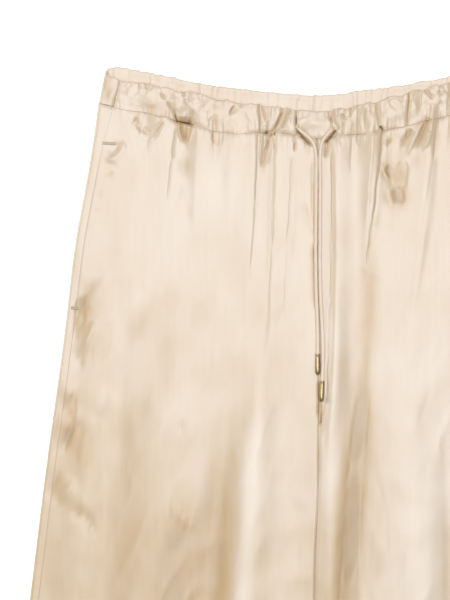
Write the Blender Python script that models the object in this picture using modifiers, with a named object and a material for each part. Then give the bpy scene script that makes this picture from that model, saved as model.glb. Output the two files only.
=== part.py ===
"""Satin drawstring trousers with wide legs, laid flat with the front up.

Metres, +Z up. They lie on z = 0, +Y points to the waist and -X is the wearer's right.
"across" is measured from the middle towards the wearer's left, and "down" from the top edge
of the front waistband at the middle towards the hems. Tables are in millimetres.
"""

import math
from collections import namedtuple

import bpy
import numpy as np
from mathutils import Vector
from mathutils.bvhtree import BVHTree

MM = 0.001

# The whole garment.
FRONT_LENGTH = 1.071
CORNER_RISE = 0.0435
WAIST_Y = (FRONT_LENGTH - CORNER_RISE) / 2
FRONT_RISE = 0.3515
CROTCH_CURVE = 0.080
HEM_CURVE = 0.009
HEM_SPREAD = 0.016

# Cloth walls and seams.
CLOTH = 0.0012
BAND_CLOTH = 0.0024
SEAM_GAP = 0.0003
WAIST_GAP = 0.0004

# Height of the front above the floor where it has no folds, with a little more over the pockets.
LAYERS = 0.0046
POCKET_LAYERS = 0.0010
POCKET_DEPTH = 0.290
BAND_LAYERS = 0.0066
BAND_TAPER = 0.0008

# The waistband, an elastic casing.
BAND_HALF_TOP = 0.1950
BAND_HALF_SEAM = 0.2015
BAND_SIDE_TOP = 0.1832
BAND_SIDE_SEAM = 0.1893
SCALLOP = 0.0007
SCALLOP_PITCH = 0.0105

# How far the back pieces wrap round the side fold on to the front.
WRAP = 0.0082
WRAP_AT_WAIST = 0.0058
WRAP_FADE = 0.025

# The pocket bags, flat between the front and the back, behind the openings in the side seams.
BAG_CLOTH = 0.0010
BAG_LAYERS = 2 * CLOTH + BAG_CLOTH + 3 * SEAM_GAP

# The drawstring and its metal ends.
CORD_RADIUS = 0.0016
HOLE_MARGIN = 0.00035
DIVE = 0.0036
DIVE_LENGTH = 0.010
CORD_SAG = 0.0004
TIP_LENGTH = 0.0195
TIP_RADIUS = 0.0024
TIP_MOUTH = 0.0023
TIP_BORE = 0.0019
TIP_SOCKET = 0.004
TIP_RIM = 0.0022
TIP_TAPER = 0.72
LIFT = 0.0004

# Points along each surface.
FRONT_COLUMNS = 27
TOP_FADE = 8
ARC_COLUMNS = 6
EDGE_COLUMNS = 14
HEM_COLUMNS = 4
BAND_COLUMNS = 96
BAND_EDGE_COLUMNS = 120
BAND_ROWS = 3

# Rows across a leg, closest together at the waist and at the crotch.
ROWS = [0, 7, 15, 24, 34, 46, 60, 77, 97, 120, 146, 175, 207, 240, 273, 305]
ROWS += [332, 352, 368, 384, 400, 416, 432, 452, 486, 530, 585, 650, 725, 810, 895, 985, 1071]

Outline = namedtuple("Outline", "down half_width")
OUTLINE = [
    Outline(-12, 203.0),
    Outline(0, 204.2),
    Outline(49, 211.4),
    Outline(126, 225.1),
    Outline(204, 234.4),
    Outline(333, 252.0),
    Outline(456, 267.2),
    Outline(750, 303.0),
    Outline(1075, 338.0),
]

Centre = namedtuple("Centre", "down across")
CENTRE = [
    Centre(-40, -1.0),
    Centre(30, -0.6),
    Centre(300, 1.4),
    Centre(350, 1.2),
    Centre(415, -1.7),
    Centre(456, -2.5),
    Centre(1075, -2.5),
]

# The waist's three edges, as heights above the front waistband's top edge at the middle.
Waist = namedtuple("Waist", "across front_top front_seam back_top back_seam")
WAIST = [
    Waist(-206, 34.0, 6.3, 37.0, 6.3),
    Waist(-192, 31.5, 3.4, 38.4, 3.4),
    Waist(-158, 23.6, -2.8, 32.3, 1.0),
    Waist(-125, 16.7, -11.6, 25.6, -4.2),
    Waist(-93, 8.8, -20.0, 20.5, -8.0),
    Waist(-56, 4.7, -22.0, 16.3, -11.7),
    Waist(-19, -0.5, -24.4, 13.0, -15.0),
    Waist(0, -1.7, -26.0, 12.3, -15.7),
    Waist(19, -0.5, -25.4, 13.5, -14.5),
    Waist(59, 8.7, -20.4, 18.6, -9.4),
    Waist(89, 17.7, -13.5, 24.2, -4.2),
    Waist(124, 25.1, -4.7, 31.2, 1.8),
    Waist(161, 32.0, 2.6, 38.0, 6.6),
    Waist(192, 37.0, 8.2, 43.3, 8.2),
    Waist(206, 39.0, 10.6, 42.0, 10.6),
]

# Folds of the front, from their upper to their lower end. "bow" is how far the middle of the
# line stands to the wearer's left, "left" and "right" are the widths on either side of it as
# seen from the front, "head" and "tail" are the shares of its length in which it fades. A fold
# with no head runs on up to the waist seam.
Fold = namedtuple("Fold", "across0 down0 across1 down1 bow left right height head tail")
FOLDS = [
    # Gathers under the waistband, wearer's right.
    Fold(-176, -8, -168, 60, 0, 10, 8, 1.6, 0, 1.0),
    Fold(-160, 0, -158, 45, 0, 6, 6, -1.4, 0, 0.9),
    Fold(-139, 4, -147, 150, 2, 13, 6, 2.6, 0, 0.8),
    Fold(-124, 6, -122, 105, 0, 8, 7, -2.2, 0, 0.9),
    Fold(-109, 10, -116, 130, 0, 6, 12, 2.2, 0, 0.8),
    Fold(-92, 15, -96, 60, 0, 5, 5, -1.3, 0, 0.9),
    Fold(-76, 18, -86, 120, 0, 9, 9, 1.4, 0, 0.9),
    Fold(-58, 20, -65, 190, 0, 12, 5, 2.6, 0, 0.7),
    Fold(-48, 20, -54, 70, 0, 5, 5, -2.0, 0, 0.8),
    Fold(-38, 22, -45, 240, 0, 5, 10, 2.2, 0, 0.7),
    Fold(-21, 22, -29, 200, 0, 8, 5, 1.5, 0, 0.7),
    # Gathers under the waistband, wearer's left.
    Fold(17, 24, 9, 330, 5, 6, 13, 3.4, 0, 0.3),
    Fold(35, 22, 34, 75, 0, 6, 6, -1.2, 0, 0.9),
    Fold(54, 18, 42, 175, 3, 13, 6, 3.8, 0, 0.6),
    Fold(71, 14, 73, 110, 0, 9, 9, -2.2, 0.2, 0.7),
    Fold(90, 8, 83, 60, 0, 7, 5, -1.0, 0, 0.9),
    Fold(106, 3, 85, 210, 4, 9, 6, 3.2, 0, 0.7),
    Fold(128, -2, 122, 130, 0, 10, 10, 1.8, 0, 0.9),
    Fold(147, -6, 146, 90, 0, 7, 7, -1.6, 0, 0.9),
    Fold(166, -10, 172, 160, 0, 12, 7, 2.4, 0, 0.8),
    # Long soft folds of the legs.
    Fold(-30, 170, -62, 1075, -6, 24, 24, 3.6, 0.2, 0.1),
    Fold(-70, 200, -118, 1075, -2, 24, 24, -1.6, 0.2, 0.1),
    Fold(-122, 150, -182, 1075, -8, 32, 30, 3.0, 0.2, 0.1),
    Fold(-180, 190, -240, 1075, 0, 24, 24, -1.4, 0.2, 0.1),
    Fold(-205, 250, -288, 1075, 4, 18, 22, 1.8, 0.2, 0.1),
    Fold(19, 120, 26, 1075, -9, 13, 17, 5.0, 0.15, 0.1),
    Fold(50, 160, 66, 1075, -22, 15, 16, -2.0, 0.2, 0.1),
    Fold(100, 150, 118, 1075, -8, 34, 36, 4.4, 0.2, 0.1),
    Fold(150, 260, 172, 1075, 0, 20, 20, -1.6, 0.3, 0.1),
    Fold(186, 180, 226, 1075, 0, 28, 26, 3.0, 0.2, 0.1),
    Fold(216, 300, 274, 1075, 0, 16, 20, -1.2, 0.2, 0.1),
    # Short creases beside the pockets.
    Fold(-199, 28, -188, 40, 0, 5, 5, -0.9, 0.3, 0.5),
    Fold(-216, 190, -226, 300, 0, 6, 9, 1.6, 0.3, 0.5),
    Fold(-206, 195, -218, 245, 0, 5, 5, -1.2, 0.3, 0.5),
]

# The pocket bag's edge inside the leg, as its distance from the side seam.
Bag = namedtuple("Bag", "down width")
BAG = [
    Bag(34, 62),
    Bag(60, 96),
    Bag(100, 122),
    Bag(150, 132),
    Bag(200, 126),
    Bag(235, 100),
    Bag(252, 58),
    Bag(256, 6),
]

# Puckers of the front waistband, from its lower to its upper edge.
Pucker = namedtuple("Pucker", "across_seam across_top left right height")
PUCKERS = [
    Pucker(-172, -168, 6, 6, 0.7),
    Pucker(-160, -158, 5, 5, -0.7),
    Pucker(-137, -148, 5, 4, -0.9),
    Pucker(-125, -126, 8, 7, 2.4),
    Pucker(-114, -111, 4, 4, -0.8),
    Pucker(-104, -103, 7, 6, 1.4),
    Pucker(-95, -94, 3.5, 3.5, -0.8),
    Pucker(-82, -76, 5, 5, 0.9),
    Pucker(-68, -66, 6, 6, -0.5),
    Pucker(-53, -54, 3.5, 3.5, -1.0),
    Pucker(-47, -44, 3.5, 3.5, 1.2),
    Pucker(-37, -31, 4, 4, 2.2),
    Pucker(-20, -20, 3.5, 3.5, -1.0),
    Pucker(14, 13, 3.5, 3.5, -1.0),
    Pucker(21, 20, 4, 4, 1.3),
    Pucker(29, 30, 3.5, 3.5, -0.8),
    Pucker(38, 37, 3.5, 3.5, 0.9),
    Pucker(60, 56, 3.5, 4, -1.0),
    Pucker(70, 70, 7, 7, 1.2),
    Pucker(83, 86, 4, 4, -1.0),
    Pucker(92, 94, 5, 5, 1.3),
    Pucker(104, 103, 4, 4, -0.8),
    Pucker(115, 112, 5, 5, 1.5),
    Pucker(127, 126, 4, 4, -0.9),
    Pucker(139, 140, 7, 6, 1.6),
    Pucker(152, 150, 4, 4, -0.8),
    Pucker(164, 163, 6, 6, 1.1),
    Pucker(176, 174, 4, 4, -0.6),
]

# The drawstring's two free ends, from the hole in the waistband to the metal tip.
Route = namedtuple("Route", "across down")
CORD_ROUTES = {
    "right": [
        Route(-20.5, 13.5),
        Route(-16.0, 18.8),
        Route(-10.5, 23.6),
        Route(-5.6, 28.2),
        Route(-2.4, 34.5),
        Route(-1.1, 43),
        Route(-0.9, 62),
        Route(-1.1, 90),
        Route(-1.3, 120),
        Route(-1.3, 145),
        Route(-0.9, 168),
        Route(-0.1, 190),
        Route(0.4, 208),
        Route(0.4, 230.5),
    ],
    "left": [
        Route(16.5, 13.5),
        Route(13.4, 18.4),
        Route(9.4, 22.8),
        Route(5.6, 27.6),
        Route(3.4, 34.5),
        Route(2.7, 43),
        Route(2.8, 62),
        Route(2.7, 90),
        Route(2.6, 120),
        Route(2.6, 145),
        Route(3.0, 168),
        Route(4.0, 190),
        Route(5.0, 208),
        Route(5.3, 226),
        Route(5.1, 240),
        Route(4.4, 255.5),
    ],
}

Material = namedtuple("Material", "name colour roughness metallic")
SATIN = Material("champagne_satin", (0.87, 0.77, 0.65), 0.38, 0.0)
CORD_SATIN = Material("cord_satin", (0.88, 0.79, 0.68), 0.40, 0.0)
BRASS = Material("brass", (0.62, 0.47, 0.24), 0.28, 1.0)


def column(table, name):
    """One column of a table as an array, in metres."""
    return np.array([getattr(row, name) for row in table], float) * MM


def curve_through(knots, values, at):
    """The smooth curve through the knots: cubic pieces whose slopes come from the neighbours."""
    slopes = np.gradient(values, knots)
    at = np.clip(at, knots[0], knots[-1])
    i = np.clip(np.searchsorted(knots, at) - 1, 0, len(knots) - 2)
    span = knots[i + 1] - knots[i]
    t = (at - knots[i]) / span
    return (
        (2 * t**3 - 3 * t**2 + 1) * values[i]
        + (t**3 - 2 * t**2 + t) * span * slopes[i]
        + (3 * t**2 - 2 * t**3) * values[i + 1]
        + (t**3 - t**2) * span * slopes[i + 1]
    )


def ramp(share):
    """0 to 1 with soft ends as share goes from 0 to 1."""
    share = np.clip(share, 0, 1)
    return share * share * (3 - 2 * share)


def mix(a, b, share):
    return a + (b - a) * share


def half_width(down):
    """From the middle to the side fold of the leg."""
    return curve_through(column(OUTLINE, "down"), column(OUTLINE, "half_width"), down)


def side_seam(down):
    """From the middle to the side seam, which lies a little on the front."""
    return half_width(down) - WRAP - WRAP_AT_WAIST * np.exp(-np.maximum(down, 0) / WRAP_FADE)


def inner_edge(side, down):
    """The centre seam above the crotch, and the leg's inner fold below it."""
    middle = curve_through(column(CENTRE, "down"), column(CENTRE, "across"), down)
    below = np.clip((down - FRONT_RISE) / (FRONT_LENGTH - FRONT_RISE), 0, 1)
    return middle + side * (SEAM_GAP + HEM_SPREAD * below**2) / 2


def legs_part(down):
    """0 where the two legs are one, 1 where each leg is a tube of its own."""
    return ramp((down - FRONT_RISE) / CROTCH_CURVE)


def waist_edge(name, across):
    """Height of one of the waist's edges above the front waistband's top edge at the middle."""
    return curve_through(column(WAIST, "across"), column(WAIST, name), across)


def hem_down(across):
    """The hem, which rises a little towards the side."""
    return FRONT_LENGTH - HEM_CURVE * (across / half_width(FRONT_LENGTH)) ** 2


def front_seam_down(across):
    """Top edge of the front legs."""
    return WAIST_GAP - waist_edge("front_seam", across)


def back_seam_down(across):
    """Top edge of the back legs."""
    return WAIST_GAP - waist_edge("back_seam", across)


def cloth_height(across, down):
    """Height of the front's upper face: two layers of cloth, and every fold added."""
    pocket = ramp((POCKET_DEPTH - down) / (POCKET_DEPTH / 2))
    height = LAYERS + POCKET_LAYERS * pocket + 0 * across
    for fold in FOLDS:
        along = (down / MM - fold.down0) / (fold.down1 - fold.down0)
        line = mix(fold.across0, fold.across1, along) + 4 * fold.bow * along * (1 - along)
        off = across / MM - line
        width = np.where(off < 0, fold.left, fold.right)
        fade = ramp(along / fold.head) if fold.head else (along > -0.3)
        fade = fade * ramp((1 - along) / fold.tail)
        height = height + fold.height * MM * np.exp(-((off / width) ** 2)) * fade
    return np.maximum(height, mix(2 * CLOTH + SEAM_GAP, BAG_LAYERS, pocket > 0.3))


def band_height(across, share):
    """Height of the front waistband's upper face, from 0 at its lower edge to 1 at its upper."""
    height = np.full(np.broadcast(across, share).shape, BAND_LAYERS)
    for pucker in PUCKERS:
        off = across / MM - mix(pucker.across_seam, pucker.across_top, share)
        width = np.where(off < 0, pucker.left, pucker.right)
        height = height + pucker.height * MM * np.exp(-((off / width) ** 2))
    return np.maximum(height - BAND_TAPER * share**3, 2 * BAND_CLOTH + SEAM_GAP)


def scallop(across):
    """Small bumps of the gathered top edge."""
    turn = 2 * math.pi * across / SCALLOP_PITCH
    return SCALLOP * (np.abs(np.cos(turn / 2 + 1.3 * np.sin(turn / 7))) - 0.5)


def settle(place, top_edge):
    """Across and down of a piece's grid, whose rows run from its top edge to the hem.

    place(down) gives the across of each column, and top_edge(across) the down of the first row."""
    share = np.array(ROWS)[:, None] / ROWS[-1]
    across = place(0.5 * share)
    for _ in range(4):
        down = top_edge(across) * (1 - share) ** TOP_FADE + hem_down(across) * share
        across = place(down)
    return across, down


def grid_faces(index):
    """The quads of a grid, from the number of each of its points."""
    quads = np.stack([index[:-1, :-1], index[:-1, 1:], index[1:, 1:], index[1:, :-1]], axis=-1)
    return quads.reshape(-1, 4).tolist()


def numbered(grids):
    """The point numbers of each grid when their points are listed one grid after the other."""
    ends = np.cumsum([0] + [grid[..., 0].size for grid in grids])
    return [np.arange(a, b).reshape(grid.shape[:-1]) for a, b, grid in zip(ends, ends[1:], grids)]


def shell(name, grids, faces, flip, thickness):
    """A satin surface given its thickness inwards."""
    points = np.concatenate([grid.reshape(-1, 3) for grid in grids])
    faces = [face[::-1] for face in faces] if flip else faces
    mesh = bpy.data.meshes.new(name)
    mesh.from_pydata(points.tolist(), [], faces)
    mesh.shade_smooth()
    obj = add_object(name, mesh, SATIN)
    wall = obj.modifiers.new("wall", "SOLIDIFY")
    wall.thickness = thickness
    wall.offset = -1
    return obj


def add_object(name, data, material):
    """Puts an object with its own material in the garment's collection."""
    obj = bpy.data.objects.new(name, data)
    bpy.data.collections["trousers"].objects.link(obj)
    data.materials.append(material_named(material))
    return obj


def material_named(spec):
    material = bpy.data.materials.get(spec.name)
    if material is None:
        material = bpy.data.materials.new(spec.name)
        material.use_nodes = True
        shader = material.node_tree.nodes["Principled BSDF"]
        shader.inputs["Base Color"].default_value = (*spec.colour, 1)
        shader.inputs["Roughness"].default_value = spec.roughness
        shader.inputs["Metallic"].default_value = spec.metallic
    return material


def stack(across, down, height):
    """Grid points from across, down and height."""
    across, down, height = np.broadcast_arrays(across, down, height)
    return np.stack([across, WAIST_Y - down, height], axis=-1)


def inner_radius(side, down):
    """Radius of the fold along the inside of the leg: half the height of the cloth there."""
    return cloth_height(inner_edge(side, down) + side * LAYERS / 2, down) / 2


def side_radius(side, down):
    """Radius of the fold along the outside of the leg."""
    return cloth_height(side * (half_width(down) - LAYERS / 2), down) / 2


def inner_roll(side, top_edge):
    """The strip beside the centre seam, which below the crotch is a quarter turn of the fold.

    Gives its across and down, its height on the back, and its height on the front."""
    flat = np.array([0.0, 0.3, 0.6, 0.9, 1.0])
    turn = np.array([0, math.pi / 6, math.pi / 3, math.pi / 2, math.pi / 2])

    def place(down):
        reach = mix(flat, np.sin(turn), legs_part(down))
        return inner_edge(side, down) + side * inner_radius(side, down) * (1 - reach)

    across, down = settle(place, top_edge)
    radius = inner_radius(side, down)
    curl = (radius - SEAM_GAP) * (1 - np.cos(turn))
    curl[:, -1] += SEAM_GAP / 2
    curl *= legs_part(down)
    front = mix(cloth_height(across, down), 2 * radius, ramp(flat) * legs_part(down))
    return across, down, curl, front - curl


def front_leg(name, side):
    """Half of the front: from the side seam over its folds to the centre seam or the inner fold."""

    def place(down):
        outer = side * (side_seam(down) - SEAM_GAP / 2)
        inner = inner_edge(side, down) + side * inner_radius(side, down)
        return mix(outer, inner, np.linspace(0, 1, FRONT_COLUMNS))

    across, down = settle(place, front_seam_down)
    body = stack(across, down, cloth_height(across, down))
    across, down, _, height = inner_roll(side, front_seam_down)
    roll = stack(across, down, height)
    grid = np.concatenate([body, roll[:, 1:]], axis=1)
    return shell(name, [grid], grid_faces(*numbered([grid])), side < 0, CLOTH)


def back_leg(name, side):
    """Half of the back: flat underneath, then round the side fold and on to the front."""
    turn = np.append(np.linspace(0, math.pi, ARC_COLUMNS + 1), [math.pi, math.pi])
    onward = np.append(np.zeros(ARC_COLUMNS + 1), [0.5, 1.0])

    def fold(down):
        radius = side_radius(side, down)
        line = mix(half_width(down) - radius, side_seam(down) + SEAM_GAP / 2, onward)
        return side * (line + radius * np.sin(turn))

    def fold_top(across):
        return mix(back_seam_down(across), front_seam_down(across), turn / math.pi)

    across, down, height, _ = inner_roll(side, back_seam_down)
    roll = stack(across, down, height)[:, ::-1]
    across, down = settle(fold, fold_top)
    rise = side_radius(side, down) * (1 - np.cos(turn))
    rise[:, -2:] = cloth_height(across, down)[:, -2:]
    edge = stack(across, down, rise)

    def flat_edge(row, top_edge, count):
        across = np.linspace(roll[row, -1, 0], edge[row, 0, 0], count + 2)[1:-1]
        return stack(across, top_edge(across), 0)

    top = flat_edge(0, back_seam_down, EDGE_COLUMNS)
    hem = flat_edge(-1, hem_down, HEM_COLUMNS)
    grids = [roll, edge, top, hem]
    rolls, edges, top_row, hem_row = numbered(grids)
    flat = np.concatenate([rolls[:, -1], hem_row, edges[::-1, 0], top_row[::-1]])
    faces = grid_faces(rolls) + grid_faces(edges) + [flat[::-1].tolist()]
    return shell(name, grids, faces, side < 0, CLOTH)


def pocket_bag(name, side):
    """A flat bag that lies on the back panel, from the side seam inwards."""
    depths = np.linspace(BAG[0].down, BAG[-1].down, 24) * MM
    width = curve_through(column(BAG, "down"), column(BAG, "width"), depths)
    outer = stack(side * (side_seam(depths) - 2 * SEAM_GAP), depths, CLOTH + SEAM_GAP)
    inner = stack(side * (side_seam(depths) - width), depths, CLOTH + SEAM_GAP)
    rings = [outer, inner[::-1]]
    faces = [np.concatenate(numbered(rings)).tolist()]
    return shell(name, rings, faces, side < 0, BAG_CLOTH)


def front_waistband():
    """The elastic casing's front, with its puckers, between the two side seams."""
    share = np.linspace(0, 1, BAND_ROWS)[:, None]
    side = mix(BAND_SIDE_SEAM, BAND_SIDE_TOP, share) - SEAM_GAP / 2
    across = side * np.linspace(-1, 1, BAND_COLUMNS)
    up = mix(waist_edge("front_seam", across), waist_edge("front_top", across), share)
    grid = stack(across, -(up + scallop(across) * share**2), band_height(across, share))
    return shell("waistband_front", [grid], grid_faces(*numbered([grid])), False, BAND_CLOTH)


def back_waistband():
    """The casing's back, flat underneath, with both ends round the side folds to the side seams."""
    share = np.linspace(0, 1, BAND_ROWS)[:, None]
    half = mix(BAND_HALF_SEAM, BAND_HALF_TOP, share)
    seam = mix(BAND_SIDE_SEAM, BAND_SIDE_TOP, share) + SEAM_GAP / 2
    turn = np.linspace(0, math.pi, ARC_COLUMNS + 1)
    turned = np.append(turn / math.pi, [1.0, 1.0])

    def place(across, height, share, turned):
        """Grid points between the band's lower and upper edges."""
        low = mix(waist_edge("back_seam", across), waist_edge("front_seam", across), turned)
        high = mix(waist_edge("back_top", across), waist_edge("front_top", across), turned)
        up = mix(low, high + scallop(across + SCALLOP_PITCH / 3), share)
        return stack(across, -up, height)

    def end(side):
        """From the flat part round the fold to the side seam."""
        radius = band_height(side * half, share) / 2
        arc = half - radius + radius * np.sin(turn)
        strip = mix(half - radius, seam, np.array([0.5, 1.0]))
        across = side * np.concatenate([arc, strip], axis=1)
        lift = radius * (1 - np.cos(turn))
        rise = np.concatenate([lift, band_height(side * strip, share)], axis=1)
        return place(across, rise, share, turned)

    right, left = end(-1)[:, ::-1], end(1)
    inside = np.linspace(0, 1, BAND_EDGE_COLUMNS + 2)[1:-1]
    low = place(mix(right[0, -1, 0], left[0, 0, 0], inside), 0, 0, 0)
    high = place(mix(right[-1, -1, 0], left[-1, 0, 0], inside), 0, 1, 0)
    grids = [right, left, low, high]
    rights, lefts, lows, highs = numbered(grids)
    flat = np.concatenate([rights[:, -1], highs, lefts[::-1, 0], lows[::-1]])
    faces = grid_faces(rights) + grid_faces(lefts) + [flat[::-1].tolist()]
    return shell("waistband_back", grids, faces, True, BAND_CLOTH)


def highest_of(objects):
    """A function that gives the highest point of these objects at a place."""
    graph = bpy.context.evaluated_depsgraph_get()
    trees = [BVHTree.FromObject(obj, graph) for obj in objects]

    def top(x, y):
        hits = [tree.ray_cast(Vector((x, y, 1)), Vector((0, 0, -1)))[0] for tree in trees]
        return max((hit.z for hit in hits if hit is not None), default=0.0)

    return top


def cord_points(route, top):
    """Points of one free end: on the cloth below it, and diving into its hole at the start."""
    across, down = column(route, "across"), column(route, "down")
    steps = np.hypot(np.diff(across), np.diff(down))
    along = np.concatenate([[0], np.cumsum(steps)])
    at = np.linspace(0, along[-1], int(along[-1] / (4 * CORD_RADIUS)))
    x = curve_through(along, across, at)
    y = WAIST_Y - curve_through(along, down, at)
    beside = np.array([-1.0, -0.5, 0.0, 0.5, 1.0]) * CORD_RADIUS
    rest = np.array([max(top(a + b, c) for b in beside) for a, c in zip(x, y)])
    padded = np.pad(rest, 1, mode="edge")
    rest = np.maximum(rest, np.maximum(padded[:-2], padded[2:]) - CORD_SAG)
    z = rest + CORD_RADIUS + LIFT
    z -= DIVE * (1 - ramp(at / DIVE_LENGTH))
    z += (TIP_RADIUS - CORD_RADIUS) * ramp(1 - (at[-1] - at) / TIP_LENGTH)
    z[-2:] = z[-2:].max()
    return np.stack([x, y, z], axis=1)


def tube(name, points, radius, material):
    """A round cord along the points, with closed ends."""
    curve = bpy.data.curves.new(name, "CURVE")
    curve.dimensions = "3D"
    curve.bevel_depth = radius
    curve.bevel_resolution = 2
    curve.use_fill_caps = True
    spline = curve.splines.new("POLY")
    spline.points.add(len(points) - 1)
    for point, place in zip(spline.points, points):
        point.co = (*place, 1)
    return add_object(name, curve, material)


def as_mesh(obj):
    """The curve made a mesh whose caps are joined to its sides."""
    graph = bpy.context.evaluated_depsgraph_get()
    mesh = bpy.data.meshes.new_from_object(obj.evaluated_get(graph))
    made = bpy.data.objects.new(obj.name + "_mesh", mesh)
    bpy.data.collections["cutters"].objects.link(made)
    made.matrix_world = obj.matrix_world
    weld = made.modifiers.new("weld", "WELD")
    weld.merge_threshold = 0.00001
    bpy.data.objects.remove(obj)
    return made


def cut_cord_hole(band, name, points):
    """Cuts the hole that a cord leaves through: its own route at the start, a little wider."""
    start = points[:3].copy()
    start[0] += (points[0] - points[1]) * (HOLE_MARGIN / np.linalg.norm(points[0] - points[1]))
    cutter = as_mesh(tube(name, start, CORD_RADIUS + HOLE_MARGIN, SATIN))
    cutter.hide_render = True
    cutter.display_type = "WIRE"
    cut = band.modifiers.new(name, "BOOLEAN")
    cut.operation = "DIFFERENCE"
    cut.object = cutter


def metal_tip(name, end, before):
    """A turned metal end with a socket that the cord's last millimetres sit in."""
    profile = [
        (0.0, -TIP_SOCKET),
        (TIP_BORE, -TIP_SOCKET),
        (TIP_BORE, 0.0),
        (TIP_MOUTH, 0.0),
        (TIP_MOUTH, -TIP_RIM),
        (TIP_BORE + SEAM_GAP, -TIP_RIM * 1.4),
        (TIP_RADIUS, -TIP_LENGTH * TIP_TAPER),
    ]
    profile += [
        (TIP_RADIUS * math.cos(a), -TIP_LENGTH + TIP_RADIUS * (1 - math.sin(a)))
        for a in np.linspace(0, math.pi / 2, 5)
    ]
    mesh = bpy.data.meshes.new(name)
    edges = [(i, i + 1) for i in range(len(profile) - 1)]
    mesh.from_pydata([(r, 0, z) for r, z in profile], edges, [])
    tip = add_object(name, mesh, BRASS)
    turned = tip.modifiers.new("turned", "SCREW")
    turned.steps = turned.render_steps = 14
    turned.use_merge_vertices = True
    turned.merge_threshold = 0.00001
    direction = Vector(end) - Vector(before)
    direction.z = 0
    direction.normalize()
    tip.location = Vector(end) - direction * (TIP_SOCKET - SEAM_GAP)
    tip.rotation_mode = "QUATERNION"
    tip.rotation_quaternion = (-direction).to_track_quat("Z", "Y")
    return tip


def start_scene():
    """Clears the scene and makes one collection for the garment and one for the cutters."""
    for obj in list(bpy.data.objects):
        bpy.data.objects.remove(obj)
    for name in ("trousers", "cutters"):
        collection = bpy.data.collections.new(name)
        bpy.context.scene.collection.children.link(collection)
    bpy.data.collections["cutters"].hide_render = True


def main():
    start_scene()
    fronts = [front_leg("leg_front_right", -1), front_leg("leg_front_left", 1)]
    back_leg("leg_back_right", -1)
    back_leg("leg_back_left", 1)
    pocket_bag("pocket_bag_right", -1)
    pocket_bag("pocket_bag_left", 1)
    band = front_waistband()
    back_waistband()
    top = highest_of([*fronts, band])
    for side, route in CORD_ROUTES.items():
        points = cord_points(route, top)
        tube("drawstring_" + side, points, CORD_RADIUS, CORD_SATIN)
        metal_tip("tip_" + side, points[-1], points[-2])
        cut_cord_hole(band, "hole_" + side, points)


main()
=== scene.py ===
"""Looks of the satin drawstring trousers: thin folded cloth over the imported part.

Metres, +Z up. The trousers lie on z = 0, +Y points to the waist and -X is the wearer's right.
"across" is measured from the middle towards the wearer's left, and "down" from the top edge
of the front waistband at the middle towards the hems. Tables are in millimetres.
"""

import math
from collections import namedtuple

import bpy
import numpy as np
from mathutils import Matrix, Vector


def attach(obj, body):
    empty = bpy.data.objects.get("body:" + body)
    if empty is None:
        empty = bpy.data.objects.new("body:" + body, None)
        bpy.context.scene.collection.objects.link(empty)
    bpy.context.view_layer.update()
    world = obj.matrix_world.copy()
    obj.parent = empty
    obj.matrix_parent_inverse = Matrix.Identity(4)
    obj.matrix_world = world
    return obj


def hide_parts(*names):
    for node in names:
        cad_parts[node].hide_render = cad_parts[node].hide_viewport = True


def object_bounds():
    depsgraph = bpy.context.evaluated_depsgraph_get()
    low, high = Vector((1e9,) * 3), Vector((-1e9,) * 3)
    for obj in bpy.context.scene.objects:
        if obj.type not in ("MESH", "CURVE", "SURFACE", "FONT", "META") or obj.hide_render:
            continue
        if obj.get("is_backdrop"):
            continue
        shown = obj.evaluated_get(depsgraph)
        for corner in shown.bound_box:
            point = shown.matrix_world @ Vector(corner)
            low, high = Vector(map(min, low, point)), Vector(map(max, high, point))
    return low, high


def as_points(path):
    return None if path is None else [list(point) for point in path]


MM = 0.001

# The whole garment, as in the part.
FRONT_LENGTH = 1.071
WAIST_Y = 0.51375
FRONT_RISE = 0.3515
CROTCH_CURVE = 0.080
HEM_CURVE = 0.009
HEM_SPREAD = 0.016
LEGS_TOUCH = 0.480
LAYERS = 0.0046
POCKET_LAYERS = 0.0010
POCKET_DEPTH = 0.290
BAND_LAYERS = 0.0066
BAND_HALF_TOP = 0.1972
BAND_HALF_SEAM = 0.2032
BAND_SIDE_TOP = 0.1832
BAND_SIDE_SEAM = 0.1893
WRAP = 0.0082
WRAP_AT_WAIST = 0.0058
WRAP_FADE = 0.025

# Cloth and seams.
CLOTH = 0.0005
BAND_WALL = 0.0024
SEAM_HALF_GAP = 0.00005
HEM_STITCH_UP = 0.018
OPENING_TOP = 0.033
OPENING_END = 0.183
BAND_OVERLAP = 0.0004
TACK_HALF_WIDTH = 0.0014
TACK_WALL = 0.0004

# The least heights of upper faces, so that no under face reaches the layer below.
LEG_FLOOR = 0.0013
POCKET_FLOOR = 0.0034
FRONT_FLOOR = 0.0015
BAND_FLOOR = 0.0036
BAND_UNDERSIDE = 0.0028

# The drawstring and its metal ends.
CORD_WIDTH = 0.0035
CORD_HEIGHT = 0.0024
CORD_SINK = 0.0001
CORD_POINTS = 260
DIVE = 0.0042
DIVE_LENGTH = 0.006
TIP_LENGTH = 0.0195
TIP_RADIUS = 0.0024
TIP_SOCKET = 0.004
TIP_GAP = 0.0003

# The camera looks straight down on the part of the trousers that the photo shows.
PICTURE_HEIGHT = 0.558
PICTURE_ACROSS = -0.0856
PICTURE_DOWN = 0.1767
CAMERA_HEIGHT = 3.0

# Steps between columns next to a seam, and how far down the rows of a leg lie.
EDGE_STEPS = np.array([0, 0.12, 0.45, 1.0, 1.7, 2.7, 4.0]) * MM
ROWS = np.concatenate([
    [0, 0.35, 0.8, 1.35, 2.0, 2.9, 4.0],
    np.arange(5.4, 60, 1.5),
    np.arange(60, 200, 2.8),
    np.arange(200, 460, 5.2),
    np.linspace(460, 1048, 40),
    [1050, 1051.5, 1053, 1054.5, 1056, 1060, 1065, 1069, 1071],
])

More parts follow.
